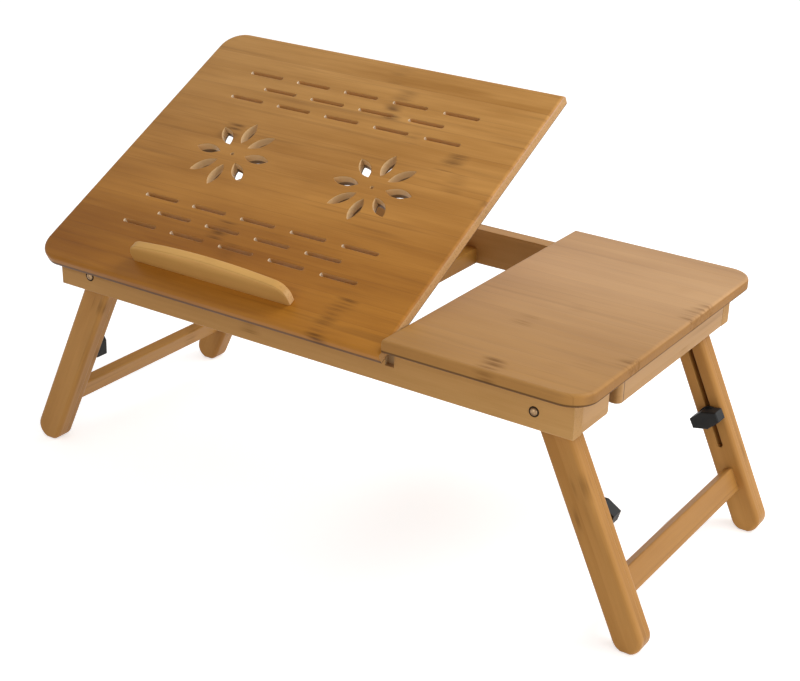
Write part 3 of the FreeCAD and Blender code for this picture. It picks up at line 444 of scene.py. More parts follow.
@dataclass(frozen=True)
class StripPattern:
    """Colour, gloss and relief of laminated bamboo strips, as one shared group.

    The strips lie along X. A strip has its own tone, thin seams beside it, and dark marks where
    the cane had its nodes. Cut ends show pores.
    """

    name: str = "bamboo_pattern"
    layer_key: float = 37.0
    strip_contrast: float = 0.34
    seam: Range = (0.478, 0.5)
    seam_tint: float = 0.22
    drift: Grain = Grain(9.0, 30.0, weight=0.03)
    node_pitch: float = 0.23
    node_stagger: float = 9.7
    node_keys: Range = (0.61, 1.37)
    node_gate: Range = (0.35, 0.75)
    node_reach: Range = (0.0, 0.06)
    node_wear: Range = (0.38, 0.66)
    broad: Grain = Grain(2.6, 16.0, 2.0, weight=1.6)
    mottle: Grain = Grain(9.0, 55.0, weight=1.1)
    fibre: Grain = Grain(7.0, 260.0, 4.0, rough=0.6, weight=0.6)
    fine: Grain = Grain(30.0, 1500.0, 2.0, weight=0.3)
    dark_line: Grain = Grain(4.5, 130.0)
    line_rise: Range = (0.56, 0.74)
    end_facing: Range = (0.75, 0.97)
    pores: float = 620.0
    pore_reach: Range = (0.12, 0.42)
    pore_tint: float = 0.4
    end_tint: float = 0.05
    end_body: float = 0.35
    rough: float = 0.42
    fibre_rough: float = 0.25
    node_rough: float = 0.12
    end_rough: float = 0.2
    fine_relief: float = 0.35
    fibre_relief: float = 0.65
    seam_relief: float = 0.6
    pore_relief: float = 0.7

    def group(self) -> bpy.types.NodeTree:
        """The shared group, made when it is first asked for."""
        return bpy.data.node_groups.get(self.name) or self.build()

    def build(self) -> bpy.types.NodeTree:
        """Makes the group.

        Returns:
            The shader group.
        """
        colours = ("Pale", "Deep", "Streak", "Ends")
        numbers = ("Strip", "Layer", "Marks", "Lines")
        inputs = {"Place": "Vector", "Facing": "Vector"}
        inputs |= dict.fromkeys(colours, "Color") | dict.fromkeys(numbers, "Float")
        outputs = {"Colour": "Color", "Gloss": "Float", "Relief": "Float"}
        desk = new_group(self.name, "Shader", inputs, outputs)
        given = desk.add("NodeGroupInput").outputs
        place = given["Place"]
        fibre, fine = desk.noise(place, self.fibre), desk.noise(place, self.fine)
        row, tone, seam = self.strips(desk, given)
        mark = desk.math(
            "MULTIPLY", self.nodes(desk, place, row, tone), desk.ramp(fibre, self.node_wear)
        )
        dark_line = desk.ramp(desk.noise(place, self.dark_line), self.line_rise)

        shade = desk.swing(tone, self.strip_contrast, HALF)
        shade = desk.swing(desk.noise(place, self.broad), self.broad.weight, shade)
        shade = desk.swing(desk.noise(place, self.mottle), self.mottle.weight, shade)
        shade = desk.swing(fibre, self.fibre.weight, shade)
        shade = desk.swing(fine, self.fine.weight, shade)
        body = desk.mix(shade, given["Deep"], given["Pale"])
        for share, weight in (
            (dark_line, given["Lines"]),
            (mark, given["Marks"]),
            (seam, self.seam_tint),
        ):
            body = desk.mix(desk.math("MULTIPLY", share, weight), body, given["Streak"])

        end = desk.ramp(desk.math("ABSOLUTE", desk.axes(given["Facing"])[0]), self.end_facing)
        pore = self.pore(desk, place)
        tint = desk.math("MULTIPLY_ADD", pore, self.pore_tint, self.end_tint)
        cut = desk.mix(tint, given["Ends"], given["Streak"])
        body = desk.mix(end, body, desk.mix(self.end_body, cut, body))

        gloss = desk.swing(fibre, self.fibre_rough, self.rough)
        gloss = desk.math("MULTIPLY_ADD", mark, self.node_rough, gloss)
        gloss = desk.math("MULTIPLY_ADD", end, self.end_rough, gloss)
        relief = desk.math("MULTIPLY", fibre, self.fibre_relief)
        relief = desk.math("MULTIPLY_ADD", fine, self.fine_relief, relief)
        relief = desk.math("MULTIPLY_ADD", seam, -self.seam_relief, relief)
        open_pore = desk.math("MULTIPLY", pore, end)
        relief = desk.math("MULTIPLY_ADD", open_pore, -self.pore_relief, relief)
        result = desk.add("NodeGroupOutput").inputs
        for name, value in (("Colour", body), ("Gloss", gloss), ("Relief", relief)):
            desk.feed(result[name], value)
        return desk.tree

    def strips(self, desk: NodeDesk, given: bpy.types.NodeOutputs) -> tuple[Socket, ...]:
        """Splits the wood into glued strips.

        Args:
            desk: The group's nodes.
            given: The group's inputs.

        Returns:
            Each strip's own number, its tone from 0 to 1, and the seams between strips.
        """
        _, across, deep = desk.axes(given["Place"])
        lane = desk.math("DIVIDE", across, given["Strip"])
        layer = desk.math("FLOOR", desk.math("DIVIDE", deep, given["Layer"]))
        row = desk.math("MULTIPLY_ADD", layer, self.layer_key, desk.math("FLOOR", lane))
        seam = desk.ramp(desk.away(desk.math("FRACT", lane), HALF), self.seam)
        return row, desk.chance(row), seam

    def nodes(self, desk: NodeDesk, place: Socket, row: Socket, tone: Socket) -> Socket:
        """Marks some of the cane's nodes on each strip.

        Args:
            desk: The group's nodes.
            place: The position in the pattern.
            row: Each strip's own number.
            tone: Its tone, which also staggers the nodes.

        Returns:
            The marks, from 0 to 1.
        """
        along = desk.swing(desk.noise(place, self.drift), self.drift.weight, desk.axes(place)[0])
        pitch = desk.math("DIVIDE", along, self.node_pitch)
        step = desk.math("MULTIPLY_ADD", tone, self.node_stagger, pitch)
        step_key, row_key = self.node_keys
        key = desk.math(
            "MULTIPLY_ADD",
            desk.math("FLOOR", step),
            step_key,
            desk.math("MULTIPLY", row, row_key),
        )
        run = desk.away(desk.math("FRACT", step), HALF)
        near = desk.remainder(desk.ramp(run, self.node_reach))
        return desk.math("MULTIPLY", near, desk.ramp(desk.chance(key), self.node_gate))

    def pore(self, desk: NodeDesk, place: Socket) -> Socket:
        """Pores across the fibres.

        Args:
            desk: The group's nodes.
            place: The position in the pattern.

        Returns:
            The pores, from 0 to 1.
        """
        cells = desk.add("ShaderNodeTexVoronoi", feature="F1")
        spread = desk.vector("MULTIPLY", place, (0.0, self.pores, self.pores))
        desk.feed(cells.inputs["Vector"], spread)
        cells.inputs["Scale"].default_value = 1.0
        return desk.remainder(desk.ramp(cells.outputs["Distance"], self.pore_reach))


@dataclass(frozen=True)
class CutField:
    """The field of a board whose openings show cut wood with painted light on their walls.

    The walls show bare cut wood, lightened as painted light against their shade: pale in a belt
    across the field, and outside it dark along the fibres with a painted highlight at the cut
    ends. Places are squared to the board's fibres.
    """

    middle: Range
    half: Range
    belt: float
    belt_half: float
    # Wall colours: cut wood lightened as painted light against the walls' shade; the end colour is
    # a painted highlight.
    pale: Colour = (0.72, 0.49, 0.25)
    dark: Colour = (0.60, 0.325, 0.115)
    end: Colour = (0.95, 0.82, 0.62)
    cover: float = 0.85
    border: float = 4.0 * MM
    upright: Range = (0.3, 0.6)
    end_facing: Range = (0.5, 0.9)


@dataclass(frozen=True)
class Recess:
    """A box on a board, in the table's frame, in which the wood has another colour, painted light
    in the thumb notch and a painted shadow line on the drawer's seam.
    """

    colour: Colour
    low: Place
    high: Place


@dataclass(frozen=True)
class ShadowLip:
    """The lower edge of a board, darkened as a painted shadow line."""

    height: float
    depth: float
    front: float = 0.0
    colour: Colour = (0.065, 0.026, 0.005)
    cover: float = 0.8
    fade: Range = (0.0, 0.9 * MM)
    clear_of_underside: Range = (0.02 * MM, 0.1 * MM)


@dataclass(frozen=True)
class PaintedLight:
    """A slow change of colour along a heading, painted light and painted reflection that lighten
    part of a board.
    """

    gain: Colour
    heading: Place
    start: float
    end: float


@dataclass(frozen=True)
class Bamboo:
    """Lacquered bamboo of glued strips."""

    slot: str
    pale: Colour
    deep: Colour
    streak: Colour
    ends: Colour
    strip: float = 0.021
    layer: float = 0.05
    marks: float = 0.55
    lines: float = 0.3
    gloss: float = 0.12
    coat: float = 0.03
    coat_rough: float = 0.3
    # Edge wear together with a painted highlight on the edges.
    wear_and_highlight: float = 0.7
    edge_patches: Grain = Grain(60.0, 160.0)
    edge_bend: Range = (0.01, 0.25)
    edge_radius: float = 1.2 * MM
    edge_samples: int = 6
    relief: float = 0.25
    relief_depth: float = 0.25 * MM
    flat_facing: Range = (0.3, 0.9)
    pattern: StripPattern = StripPattern()
    # Painted shade on the side faces.
    side_shade: Colour | None = None
    # Gradients of painted light and painted reflection.
    painted_lights: tuple[PaintedLight, ...] = ()
    # A painted shadow line on the lower edge.
    lip: ShadowLip | None = None
    # Cut walls with painted light.
    cuts: CutField | None = None
    # A box of painted colour: painted light in the thumb notch, a painted shadow line on the
    # drawer's seam.
    recess: Recess | None = None

    def material(self, name: str, turn: Euler, shift: Place) -> bpy.types.Material:
        """Builds the finish for one piece.

        Args:
            name: The material's name.
            turn: The turn that brings the fibres along X.
            shift: Where in the pattern the piece is cut from, in metres.

        Returns:
            The material.
        """
        made, desk, surface = new_material(name)
        given = desk.add("ShaderNodeTexCoord").outputs
        board = desk.turned(given["Object"], turn)
        facing = desk.turned(given["Normal"], turn, "VECTOR")
        place = desk.vector("ADD", board, shift)
        eased = desk.add("ShaderNodeBevel", samples=self.edge_samples)
        eased.inputs["Radius"].default_value = self.edge_radius
        strips = self.strips(desk, place, facing)

        colour = strips["Colour"]
        # Painted light and shade laid over the wood: light gradients, shaded side faces, edges lit
        # as well as worn, lit cut walls, a recess colour and a shadow line on the lower edge.
        for fade in self.painted_lights:
            colour = self.paint_light(desk, colour, board, facing, fade)
        if self.side_shade:
            colour = self.shade_sides(desk, colour, facing)
        colour = self.worn_and_lit_edges(desk, colour, eased.outputs[0], place)
        if self.cuts:
            colour = self.cut_and_lit_walls(desk, colour, board, facing)
        if self.recess:
            colour = self.recessed(desk, colour, given["Object"])
        if self.lip:
            colour = self.paint_shadow_lip(desk, colour, board, facing)
        desk.feed(surface.inputs["Base Color"], colour)
        desk.feed(surface.inputs["Roughness"], strips["Gloss"])
        bump = desk.bump(strips["Relief"], self.relief, self.relief_depth)
        desk.feed(bump.inputs["Normal"], eased.outputs[0])
        desk.feed(surface.inputs["Normal"], bump.outputs[0])
        surface.inputs["Specular IOR Level"].default_value = self.gloss
        surface.inputs["Coat Weight"].default_value = self.coat
        surface.inputs["Coat Roughness"].default_value = self.coat_rough
        return made

    def strips(self, desk: NodeDesk, place: Socket, facing: Socket) -> bpy.types.NodeOutputs:
        """Lays the strips of this wood.

        Args:
            desk: The material's nodes.
            place: The position in the pattern.
            facing: The normal, squared to the board.

        Returns:
            The pattern's colour, gloss and relief.
        """
        made = desk.add("ShaderNodeGroup", node_tree=self.pattern.group())
        for socket, value in (
            ("Place", place),
            ("Facing", facing),
            ("Pale", opaque(self.pale)),
            ("Deep", opaque(self.deep)),
            ("Streak", opaque(self.streak)),
            ("Ends", opaque(self.ends)),
            ("Strip", self.strip),
            ("Layer", self.layer),
            ("Marks", self.marks),
            ("Lines", self.lines),
        ):
            desk.feed(made.inputs[socket], value)
        return made.outputs

    def paint_light(
        self, desk: NodeDesk, colour: Socket, board: Socket, facing: Socket, fade: PaintedLight
    ) -> Socket:
        """Paints light slowly along a heading, lightening the colour apart from the cut ends.

        Args:
            desk: The material's nodes.
            colour: The colour so far.
            board: The position, squared to the board.
            facing: The normal, squared to the board.
            fade: How the painted light changes the colour.

        Returns:
            The new colour.
        """
        run = desk.ramp(desk.vector("DOT_PRODUCT", board, fade.heading), (fade.start, fade.end))
        along = desk.math("ABSOLUTE", desk.axes(facing)[0])
        side = desk.remainder(desk.ramp(along, self.pattern.end_facing))
        share = desk.math("MULTIPLY", run, side)
        return desk.mix(share, colour, opaque(fade.gain), Blend.MULTIPLY)

    def shade_sides(self, desk: NodeDesk, colour: Socket, facing: Socket) -> Socket:
        """Deepens the colour of a board's edges as painted shade.

        Args:
            desk: The material's nodes.
            colour: The colour so far.
            facing: The normal, squared to the board.

        Returns:
            The new colour.
        """
        flat = desk.ramp(desk.math("ABSOLUTE", desk.axes(facing)[2]), self.flat_facing)
        return desk.mix(desk.remainder(flat), colour, opaque(self.side_shade), Blend.MULTIPLY)

    def worn_and_lit_edges(self, desk: NodeDesk, colour: Socket, eased: Socket, place: Socket) -> Socket:
        """Lightens the edges, as wear where hands have rubbed the lacquer and as a painted
        highlight.

        Args:
            desk: The material's nodes.
            colour: The colour so far.
            eased: The normal with softened edges.
            place: The position in the pattern.

        Returns:
            The new colour.
        """
        true = desk.add("ShaderNodeNewGeometry").outputs["Normal"]
        bend = desk.remainder(desk.vector("DOT_PRODUCT", eased, true))
        edge = desk.ramp(bend, self.edge_bend)
        worn_and_lit = desk.math("MULTIPLY", edge, desk.noise(place, self.edge_patches))
        share = desk.math("MULTIPLY", worn_and_lit, self.wear_and_highlight)
        return desk.mix(share, colour, opaque(self.pale), Blend.SCREEN)

    def cut_and_lit_walls(self, desk: NodeDesk, colour: Socket, board: Socket, facing: Socket) -> Socket:
        """Shows cut wood with painted light on the walls of the openings.

        Args:
            desk: The material's nodes.
            colour: The colour so far.
            board: The position, squared to the board.
            facing: The normal, squared to the board.

        Returns:
            The new colour.
        """
        cuts = self.cuts
        spot, side = desk.axes(board), desk.axes(facing)
        share = desk.remainder(desk.ramp(desk.math("ABSOLUTE", side[2]), cuts.upright))
        for part, middle, half in zip(spot, cuts.middle, cuts.half):
            edge = desk.ramp(desk.away(part, middle), (half - cuts.border, half))
            share = desk.math("MULTIPLY", share, desk.remainder(edge))
        belt_edge = (cuts.belt_half - cuts.border, cuts.belt_half)
        outside = desk.ramp(desk.away(spot[1], cuts.belt), belt_edge)
        end = desk.ramp(desk.math("ABSOLUTE", side[0]), cuts.end_facing)
        tint = desk.mix(end, opaque(cuts.dark), opaque(cuts.end))
        tint = desk.mix(outside, opaque(cuts.pale), tint)
        return desk.mix(desk.math("MULTIPLY", share, cuts.cover), colour, tint)

    def recessed(self, desk: NodeDesk, colour: Socket, place: Socket) -> Socket:
        """Gives the wood inside the recess its own colour, which is painted light in the notch and
        a painted shadow on the seam.

        Args:
            desk: The material's nodes.
            colour: The colour so far.
            place: The position in the table's frame.

        Returns:
            The new colour.
        """
        share: object = 1.0
        for part, low, high in zip(desk.axes(place), self.recess.low, self.recess.high):
            within = desk.math("COMPARE", part, (low + high) / 2, (high - low) / 2)
            share = desk.math("MULTIPLY", within, share)
        return desk.mix(share, colour, opaque(self.recess.colour))

    def paint_shadow_lip(self, desk: NodeDesk, colour: Socket, board: Socket, facing: Socket) -> Socket:
        """Paints a shadow line on the lower edge of a board, more of it on the front.

        Args:
            desk: The material's nodes.
            colour: The colour so far.
            board: The position, squared to the board.
            facing: The normal, squared to the board.

        Returns:
            The new colour.
        """
        lip = self.lip
        rise = desk.math("SUBTRACT", desk.axes(board)[2], lip.height)
        forward = desk.math("MULTIPLY", desk.axes(facing)[1], -1.0, clamp=True)
        reach = desk.math("MULTIPLY_ADD", forward, lip.front, lip.depth)
        below = desk.remainder(desk.ramp(desk.math("SUBTRACT", rise, reach), lip.fade))
        share = desk.math("MULTIPLY", below, desk.ramp(rise, lip.clear_of_underside))
        return desk.mix(desk.math("MULTIPLY", share, lip.cover), colour, opaque(lip.colour))


@dataclass(frozen=True)
class Metal:
    """Plated metal with fine scratches and dull patches."""

    slot: str
    colour: Colour
    tarnish: Colour
    rough: float = 0.3
    patch: Grain = Grain(240.0, 240.0, 4.0)
    patch_rise: Range = (0.45, 0.72)
    patch_cover: float = 0.7
    patch_rough: float = 0.22
    scratch: Grain = Grain(300.0, 5000.0, 2.0)
    scratch_rough: float = 0.12
    relief: float = 0.15
    relief_depth: float = 0.05 * MM

    def material(self, name: str, turn: Euler, shift: Place) -> bpy.types.Material:
        """Builds the finish for one piece.

        Args:
            name: The material's name.
            turn: The turn that brings the scratches along X.
            shift: Where in the pattern the piece is cut from, in metres.

        Returns:
            The material.
        """
        made, desk, surface = new_material(name)
        given = desk.add("ShaderNodeTexCoord").outputs["Object"]
        place = desk.vector("ADD", desk.turned(given, turn), shift)
        dull = desk.ramp(desk.noise(place, self.patch), self.patch_rise)
        scratch = desk.noise(place, self.scratch)
        share = desk.math("MULTIPLY", dull, self.patch_cover)
        colour = desk.mix(share, opaque(self.colour), opaque(self.tarnish))
        desk.feed(surface.inputs["Base Color"], colour)
        surface.inputs["Metallic"].default_value = 1.0
        rough = desk.math("MULTIPLY_ADD", dull, self.patch_rough, self.rough)
        rough = desk.math("MULTIPLY_ADD", scratch, self.scratch_rough, rough)
        desk.feed(surface.inputs["Roughness"], rough)
        bump = desk.bump(scratch, self.relief, self.relief_depth)
        desk.feed(surface.inputs["Normal"], bump.outputs[0])
        return made


@dataclass(frozen=True)
class Moulded:
    """Moulded plastic or rubber with a fine grain and a faint bloom."""

    slot: str
    colour: Colour
    bloom: Colour
    rough: float
    gloss: float
    haze: Grain = Grain(90.0, 90.0, 4.0)
    haze_rise: Range = (0.35, 0.8)
    haze_rough: float = 0.2
    grain: Grain = Grain(2600.0, 2600.0, 2.0)
    relief: float = 0.2
    relief_depth: float = 0.08 * MM

    def material(self, name: str, turn: Euler, shift: Place) -> bpy.types.Material:
        """Builds the finish for one piece.

        Args:
            name: The material's name.
            turn: The way the pattern is turned.
            shift: Where in the pattern the piece is cut from, in metres.

        Returns:
            The material.
        """
        made, desk, surface = new_material(name)
        given = desk.add("ShaderNodeTexCoord").outputs["Object"]
        place = desk.vector("ADD", desk.turned(given, turn), shift)
        haze = desk.noise(place, self.haze)
        bloom = desk.ramp(haze, self.haze_rise)
        colour = desk.mix(bloom, opaque(self.colour), opaque(self.bloom))
        desk.feed(surface.inputs["Base Color"], colour)
        desk.feed(surface.inputs["Roughness"], desk.swing(haze, self.haze_rough, self.rough))
        surface.inputs["Specular IOR Level"].default_value = self.gloss
        bump = desk.bump(desk.noise(place, self.grain), self.relief, self.relief_depth)
        desk.feed(surface.inputs["Normal"], bump.outputs[0])
        return made


Finish = Bamboo | Metal | Moulded

# The end-grain colour carries a painted highlight. The gradients are painted light, lighter
# towards the right, and a painted reflection, paler towards the back.
TILTING_WOOD = Bamboo(
    "top_wood",
    pale=(0.415, 0.168, 0.0195),
    deep=(0.250, 0.086, 0.006),
    streak=(0.110, 0.038, 0.004),
    ends=(0.660, 0.420, 0.200),
    marks=0.9,
    gloss=0.18,
    coat=0.0,
    painted_lights=(
        PaintedLight((1.22, 1.23, 1.22), (1.0, 0.0, 0.0), -0.26, 0.09),
        PaintedLight((1.30, 1.66, 4.2), (0.0, 1.0, 0.0), -0.04, 0.26),
    ),
)
# Paler and greyer than the tilting top's wood as a painted sheen. The side faces carry painted
# shade, and the gradient is a painted reflection, paler towards the back.
FIXED_WOOD = Bamboo(
    "top_wood",
    pale=(0.466, 0.238, 0.070),
    deep=(0.360, 0.174, 0.047),
    streak=(0.180, 0.076, 0.016),
    ends=(0.290, 0.148, 0.052),
    marks=0.85,
    lines=0.18,
    gloss=0.15,
    coat=0.0,
    side_shade=(0.98, 0.94, 0.85),
    painted_lights=(PaintedLight((1.19, 1.34, 2.05), (0.0, 1.0, 0.0), -0.15, 0.08),),
)
# Its gradient is painted light, lighter along the ledge's upper part, and its stronger edge wear
# also carries a painted highlight.
LEDGE_WOOD = Bamboo(
    "ledge_wood",
    pale=(0.540, 0.288, 0.084),
    deep=(0.435, 0.222, 0.052),
    streak=(0.220, 0.090, 0.014),
    ends=(0.740, 0.480, 0.230),
    marks=0.3,
    gloss=0.16,
    wear_and_highlight=1.2,
    painted_lights=(PaintedLight((1.38, 1.46, 1.6), (0.0, 0.0, 1.0), 0.258, 0.270),),
)
# Its gradient is painted light, lighter towards the right.
RAIL_WOOD = Bamboo(
    "rail_wood",
    pale=(0.500, 0.264, 0.088),
    deep=(0.388, 0.190, 0.050),
    streak=(0.190, 0.080, 0.014),
    ends=(0.480, 0.275, 0.105),
    strip=0.03,
    layer=0.022,
    painted_lights=(PaintedLight((1.12, 1.16, 1.2), (1.0, 0.0, 0.0), -0.05, 0.24),),
)
END_WOOD = Bamboo(
    "end_wood",
    pale=(0.490, 0.272, 0.104),
    deep=(0.402, 0.212, 0.068),
    streak=(0.230, 0.110, 0.030),
    ends=(0.360, 0.185, 0.062),
    strip=0.03,
    layer=0.022,
    marks=0.4,
)
INNER_WOOD = Bamboo(
    "inner_wood",
    pale=(0.400, 0.195, 0.042),
    deep=(0.300, 0.132, 0.022),
    streak=(0.160, 0.066, 0.010),
    ends=(0.360, 0.180, 0.040),
    strip=0.02,
    layer=0.02,
    gloss=0.08,
    coat=0.0,
)
DRAWER_WOOD = Bamboo(
    "drawer_wood",
    pale=(0.540, 0.340, 0.160),
    deep=(0.440, 0.260, 0.110),
    streak=(0.270, 0.150, 0.060),
    ends=(0.460, 0.280, 0.120),
    strip=0.02,
    layer=0.03,
)
LEG_WOOD = Bamboo(
    "leg_wood",
    pale=(0.512, 0.254, 0.068),
    deep=(0.378, 0.170, 0.036),
    streak=(0.170, 0.070, 0.012),
    ends=(0.400, 0.190, 0.050),
    strip=0.019,
    layer=0.03,
    gloss=0.16,
)
# A copy of the leg wood, darker as painted shade and lightened again towards the left end as
# painted light.
CROSSBAR_WOOD = replace(
    LEG_WOOD,
    pale=(0.450, 0.223, 0.060),
    deep=(0.332, 0.149, 0.032),
    painted_lights=(PaintedLight((1.4, 1.5, 1.6), (0.0, 1.0, 0.0), -0.2, 0.2),),
)
BRASS = Metal("hinge_metal", (0.38, 0.28, 0.14), (0.25, 0.17, 0.075))
STEEL = Metal("bolt_metal", (0.58, 0.50, 0.40), (0.33, 0.26, 0.19), 0.2)
BRONZE = Metal("bolt_metal", (0.34, 0.22, 0.12), (0.16, 0.09, 0.045), 0.22)
DARK_STEEL = Metal("bolt_metal", (0.035, 0.022, 0.013), (0.02, 0.013, 0.008), 0.5)
KNOB_BLACK = Moulded("knob_plastic", (0.010, 0.010, 0.010), (0.022, 0.022, 0.021), 0.45, 0.2)
RUBBER = Moulded("bumper_rubber", (0.02, 0.02, 0.02), (0.045, 0.043, 0.04), 0.7, 0.3)
# Painted light that lightens the shaded wood in the thumb notch.
NOTCH_LIGHT = (0.52, 0.34, 0.17)
SEAM_SHADOW = (0.07, 0.032, 0.012)


class Paintbox:
    """Makes each piece's own material and puts it on."""

    def __init__(self, survey: Survey) -> None:
        """Takes the survey of the table.

        Args:
            survey: Where the turns and the solids come from.
        """
        self.survey = survey
        self.count = 0

    def make(self, name: str, finish: Finish, lay: Lay = Lay.LENGTHWISE) -> bpy.types.Material:
        """A material that is cut from its own place in the pattern.

        Args:
            name: The piece's name.
            finish: What the piece is made of.
            lay: The way its fibres run.

        Returns:
            The material.
        """
        self.count += 1
        shift = (PATTERN_STEP * self.count, 0.0, 0.0)
        return finish.material(f"{name}_finish", self.survey.turn(lay), shift)

    def paint(self, name: str, finish: Finish, lay: Lay = Lay.LENGTHWISE) -> None:
        """Puts a finish on a solid of the frame.

        Args:
            name: The solid.
            finish: What it is made of.
            lay: The way its fibres run.
        """
        material = self.make(name, finish, lay)
        for slot in self.survey.solids[name].material_slots:
            slot.material = material
        LOG.info("finish on %s: %s", name, finish.slot)


def point_mesh(name: str, spots: list[Spot]) -> bpy.types.Mesh:
    """A mesh of bare points with a direction on each.

    Args:
        name: The mesh's name.
        spots: Pairs of place and direction.

    Returns:
        The mesh.
    """
    made = bpy.data.meshes.new(name)
    made.from_pydata([place for place, _ in spots], [], [])
    store = made.attributes.new("direction", "FLOAT_VECTOR", "POINT")
    for index, (_, direction) in enumerate(spots):
        store.data[index].vector = direction
    return made


def set_on_points(
    desk: NodeDesk, given: bpy.types.NodeOutputs, shape: Socket, result: str
) -> None:
    """Sets a shape on every point, along its direction, as real mesh with a material.

    Args:
        desk: The tree's nodes.
        given: The tree's inputs, with Points and Finish.
        shape: The mesh that is repeated.
        result: The name of the tree's output.
    """
    direction = desk.add("GeometryNodeInputNamedAttribute", data_type="FLOAT_VECTOR")
    direction.inputs["Name"].default_value = "direction"
    aim = desk.add("FunctionNodeAlignRotationToVector", axis="Z")
    desk.feed(aim.inputs["Vector"], direction.outputs["Attribute"])
    placed = desk.add("GeometryNodeInstanceOnPoints")
    desk.feed(placed.inputs["Points"], given["Points"])
    desk.feed(placed.inputs["Instance"], shape)
    desk.feed(placed.inputs["Rotation"], aim.outputs["Rotation"])
    real = desk.add("GeometryNodeRealizeInstances")
    desk.feed(real.inputs[0], placed.outputs[0])
    dressed = desk.add("GeometryNodeSetMaterial")
    desk.feed(dressed.inputs["Geometry"], real.outputs[0])
    desk.feed(dressed.inputs["Material"], given["Finish"])
    desk.feed(desk.add("NodeGroupOutput").inputs[result], dressed.outputs[0])


def grow(
    name: str, carrier: bpy.types.Mesh, tree: bpy.types.NodeTree, values: dict[str, object]
) -> bpy.types.Object:
    """Runs a geometry tree on a carrier mesh and keeps the result as a plain mesh.

    Args:
        name: The piece's name.
        carrier: The mesh that the tree starts from.
        tree: The geometry tree.
        values: Its inputs by name.

    Returns:
        The finished object, at the origin.
    """
    made = bpy.data.objects.new(name, carrier)
    bpy.context.scene.collection.objects.link(made)
    step = made.modifiers.new("grow", "NODES")
    step.node_group = tree
    for item in tree.interface.items_tree:
        if item.in_out == "INPUT" and item.name in values:
            step[item.identifier] = values[item.name]
    evaluated = made.evaluated_get(bpy.context.evaluated_depsgraph_get())
    grown = bpy.data.meshes.new_from_object(evaluated)
    made.modifiers.clear()
    made.data = grown
    grown.name = name
    LOG.info("piece %s: %d faces", name, len(grown.polygons))
    return made


@dataclass
class HingeScrews:
    """Screws of the two butt hinges, one group for each leaf's body."""

    per_leaf: int = 3
    spread: float = 13.0 * MM
    rows: Range = (11.0 * MM, 20.0 * MM)
    radius: float = 2.6 * MM
    rise: float = 0.7 * MM
    recess: float = 0.7 * MM
    crown_share: float = 0.72
    cross_share: float = 1.05
    cross_lift: float = 0.75
    sides: int = 20

    def tree(self) -> bpy.types.NodeTree:
        """Cross-recessed heads on points that carry the direction of each head.

        Returns:
            The geometry tree.
        """
        inputs = {"Points": "Geometry", "Radius": "Float", "Rise": "Float", "Recess": "Float"}
        inputs["Finish"] = "Material"
        desk = new_group("screw_heads", "Geometry", inputs, {"Heads": "Geometry"})
        given = desk.add("NodeGroupInput").outputs
        head = desk.add("GeometryNodeMeshCone", fill_type="NGON")
        head.inputs["Vertices"].default_value = self.sides
        crown = desk.math("MULTIPLY", given["Radius"], self.crown_share)
        desk.feed(head.inputs["Radius Top"], crown)
        desk.feed(head.inputs["Radius Bottom"], given["Radius"])
        desk.feed(head.inputs["Depth"], given["Rise"])
        cutter = desk.add("GeometryNodeMeshBoolean", operation="DIFFERENCE")
        desk.feed(cutter.inputs["Mesh 1"], head.outputs["Mesh"])
        length = desk.math("MULTIPLY", given["Radius"], self.cross_share)
        lift = desk.joined(0.0, 0.0, desk.math("MULTIPLY", given["Rise"], self.cross_lift))
        for sides in ((length, given["Recess"]), (given["Recess"], length)):
            bar = desk.add("GeometryNodeMeshCube")
            desk.feed(bar.inputs["Size"], desk.joined(*sides, given["Rise"]))
            lifted = desk.add("GeometryNodeTransform")
            desk.feed(lifted.inputs["Geometry"], bar.outputs["Mesh"])
            desk.feed(lifted.inputs["Translation"], lift)
            desk.feed(cutter.inputs["Mesh 2"], lifted.outputs[0])
        set_on_points(desk, given, cutter.outputs["Mesh"], "Heads")
        return desk.tree

    def spots(self, leaf: Leaf, survey: Survey) -> list[Spot]:
        """Places and directions of the heads on one leaf of each hinge.

        Args:
            leaf: Which leaf.
            survey: The table's angles and places.

        Returns:
            Pairs of place and outward direction.
        """
        level = survey.turn(Lay.TILTED).to_matrix()
        tilted = level.transposed()
        axis = level @ survey.hinge
        underside = survey.box("tilting_top", Lay.TILTED)[0].z
        rail_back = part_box("front_rail")[1].y
        found = []
        for side in ("left", "right"):
            low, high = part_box(f"hinge_{side}_rail_leaf")
            thickness = high.y - rail_back
            for index in range(self.per_leaf):
                x = (low.x + high.x) / 2 + (index - (self.per_leaf - 1) / 2) * self.spread
                away = self.rows[index % len(self.rows)]
                if leaf is Leaf.RAIL:
                    place = Vector((x, high.y, survey.hinge.z - away))
                    found.append((place, Vector((0.0, 1.0, 0.0))))
                else:
                    place = Vector((x, axis.y + away, underside - thickness))
                    found.append((tilted @ place, tilted @ Vector((0.0, 0.0, -1.0))))
        return found

    def build(self, paintbox: Paintbox) -> None:
        """Makes the heads and lets them ride on their bodies.

        Args:
            paintbox: Where the finish comes from.
        """
        tree = self.tree()
        sizes = {"Radius": self.radius, "Rise": self.rise, "Recess": self.recess}
        for leaf in Leaf:
            name = f"hinge_screws_{leaf.value}"
            carrier = point_mesh(f"{leaf.value}_screw_points", self.spots(leaf, paintbox.survey))
            piece = grow(name, carrier, tree, sizes | {"Finish": paintbox.make(name, BRASS)})
            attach(piece, leaf.value)


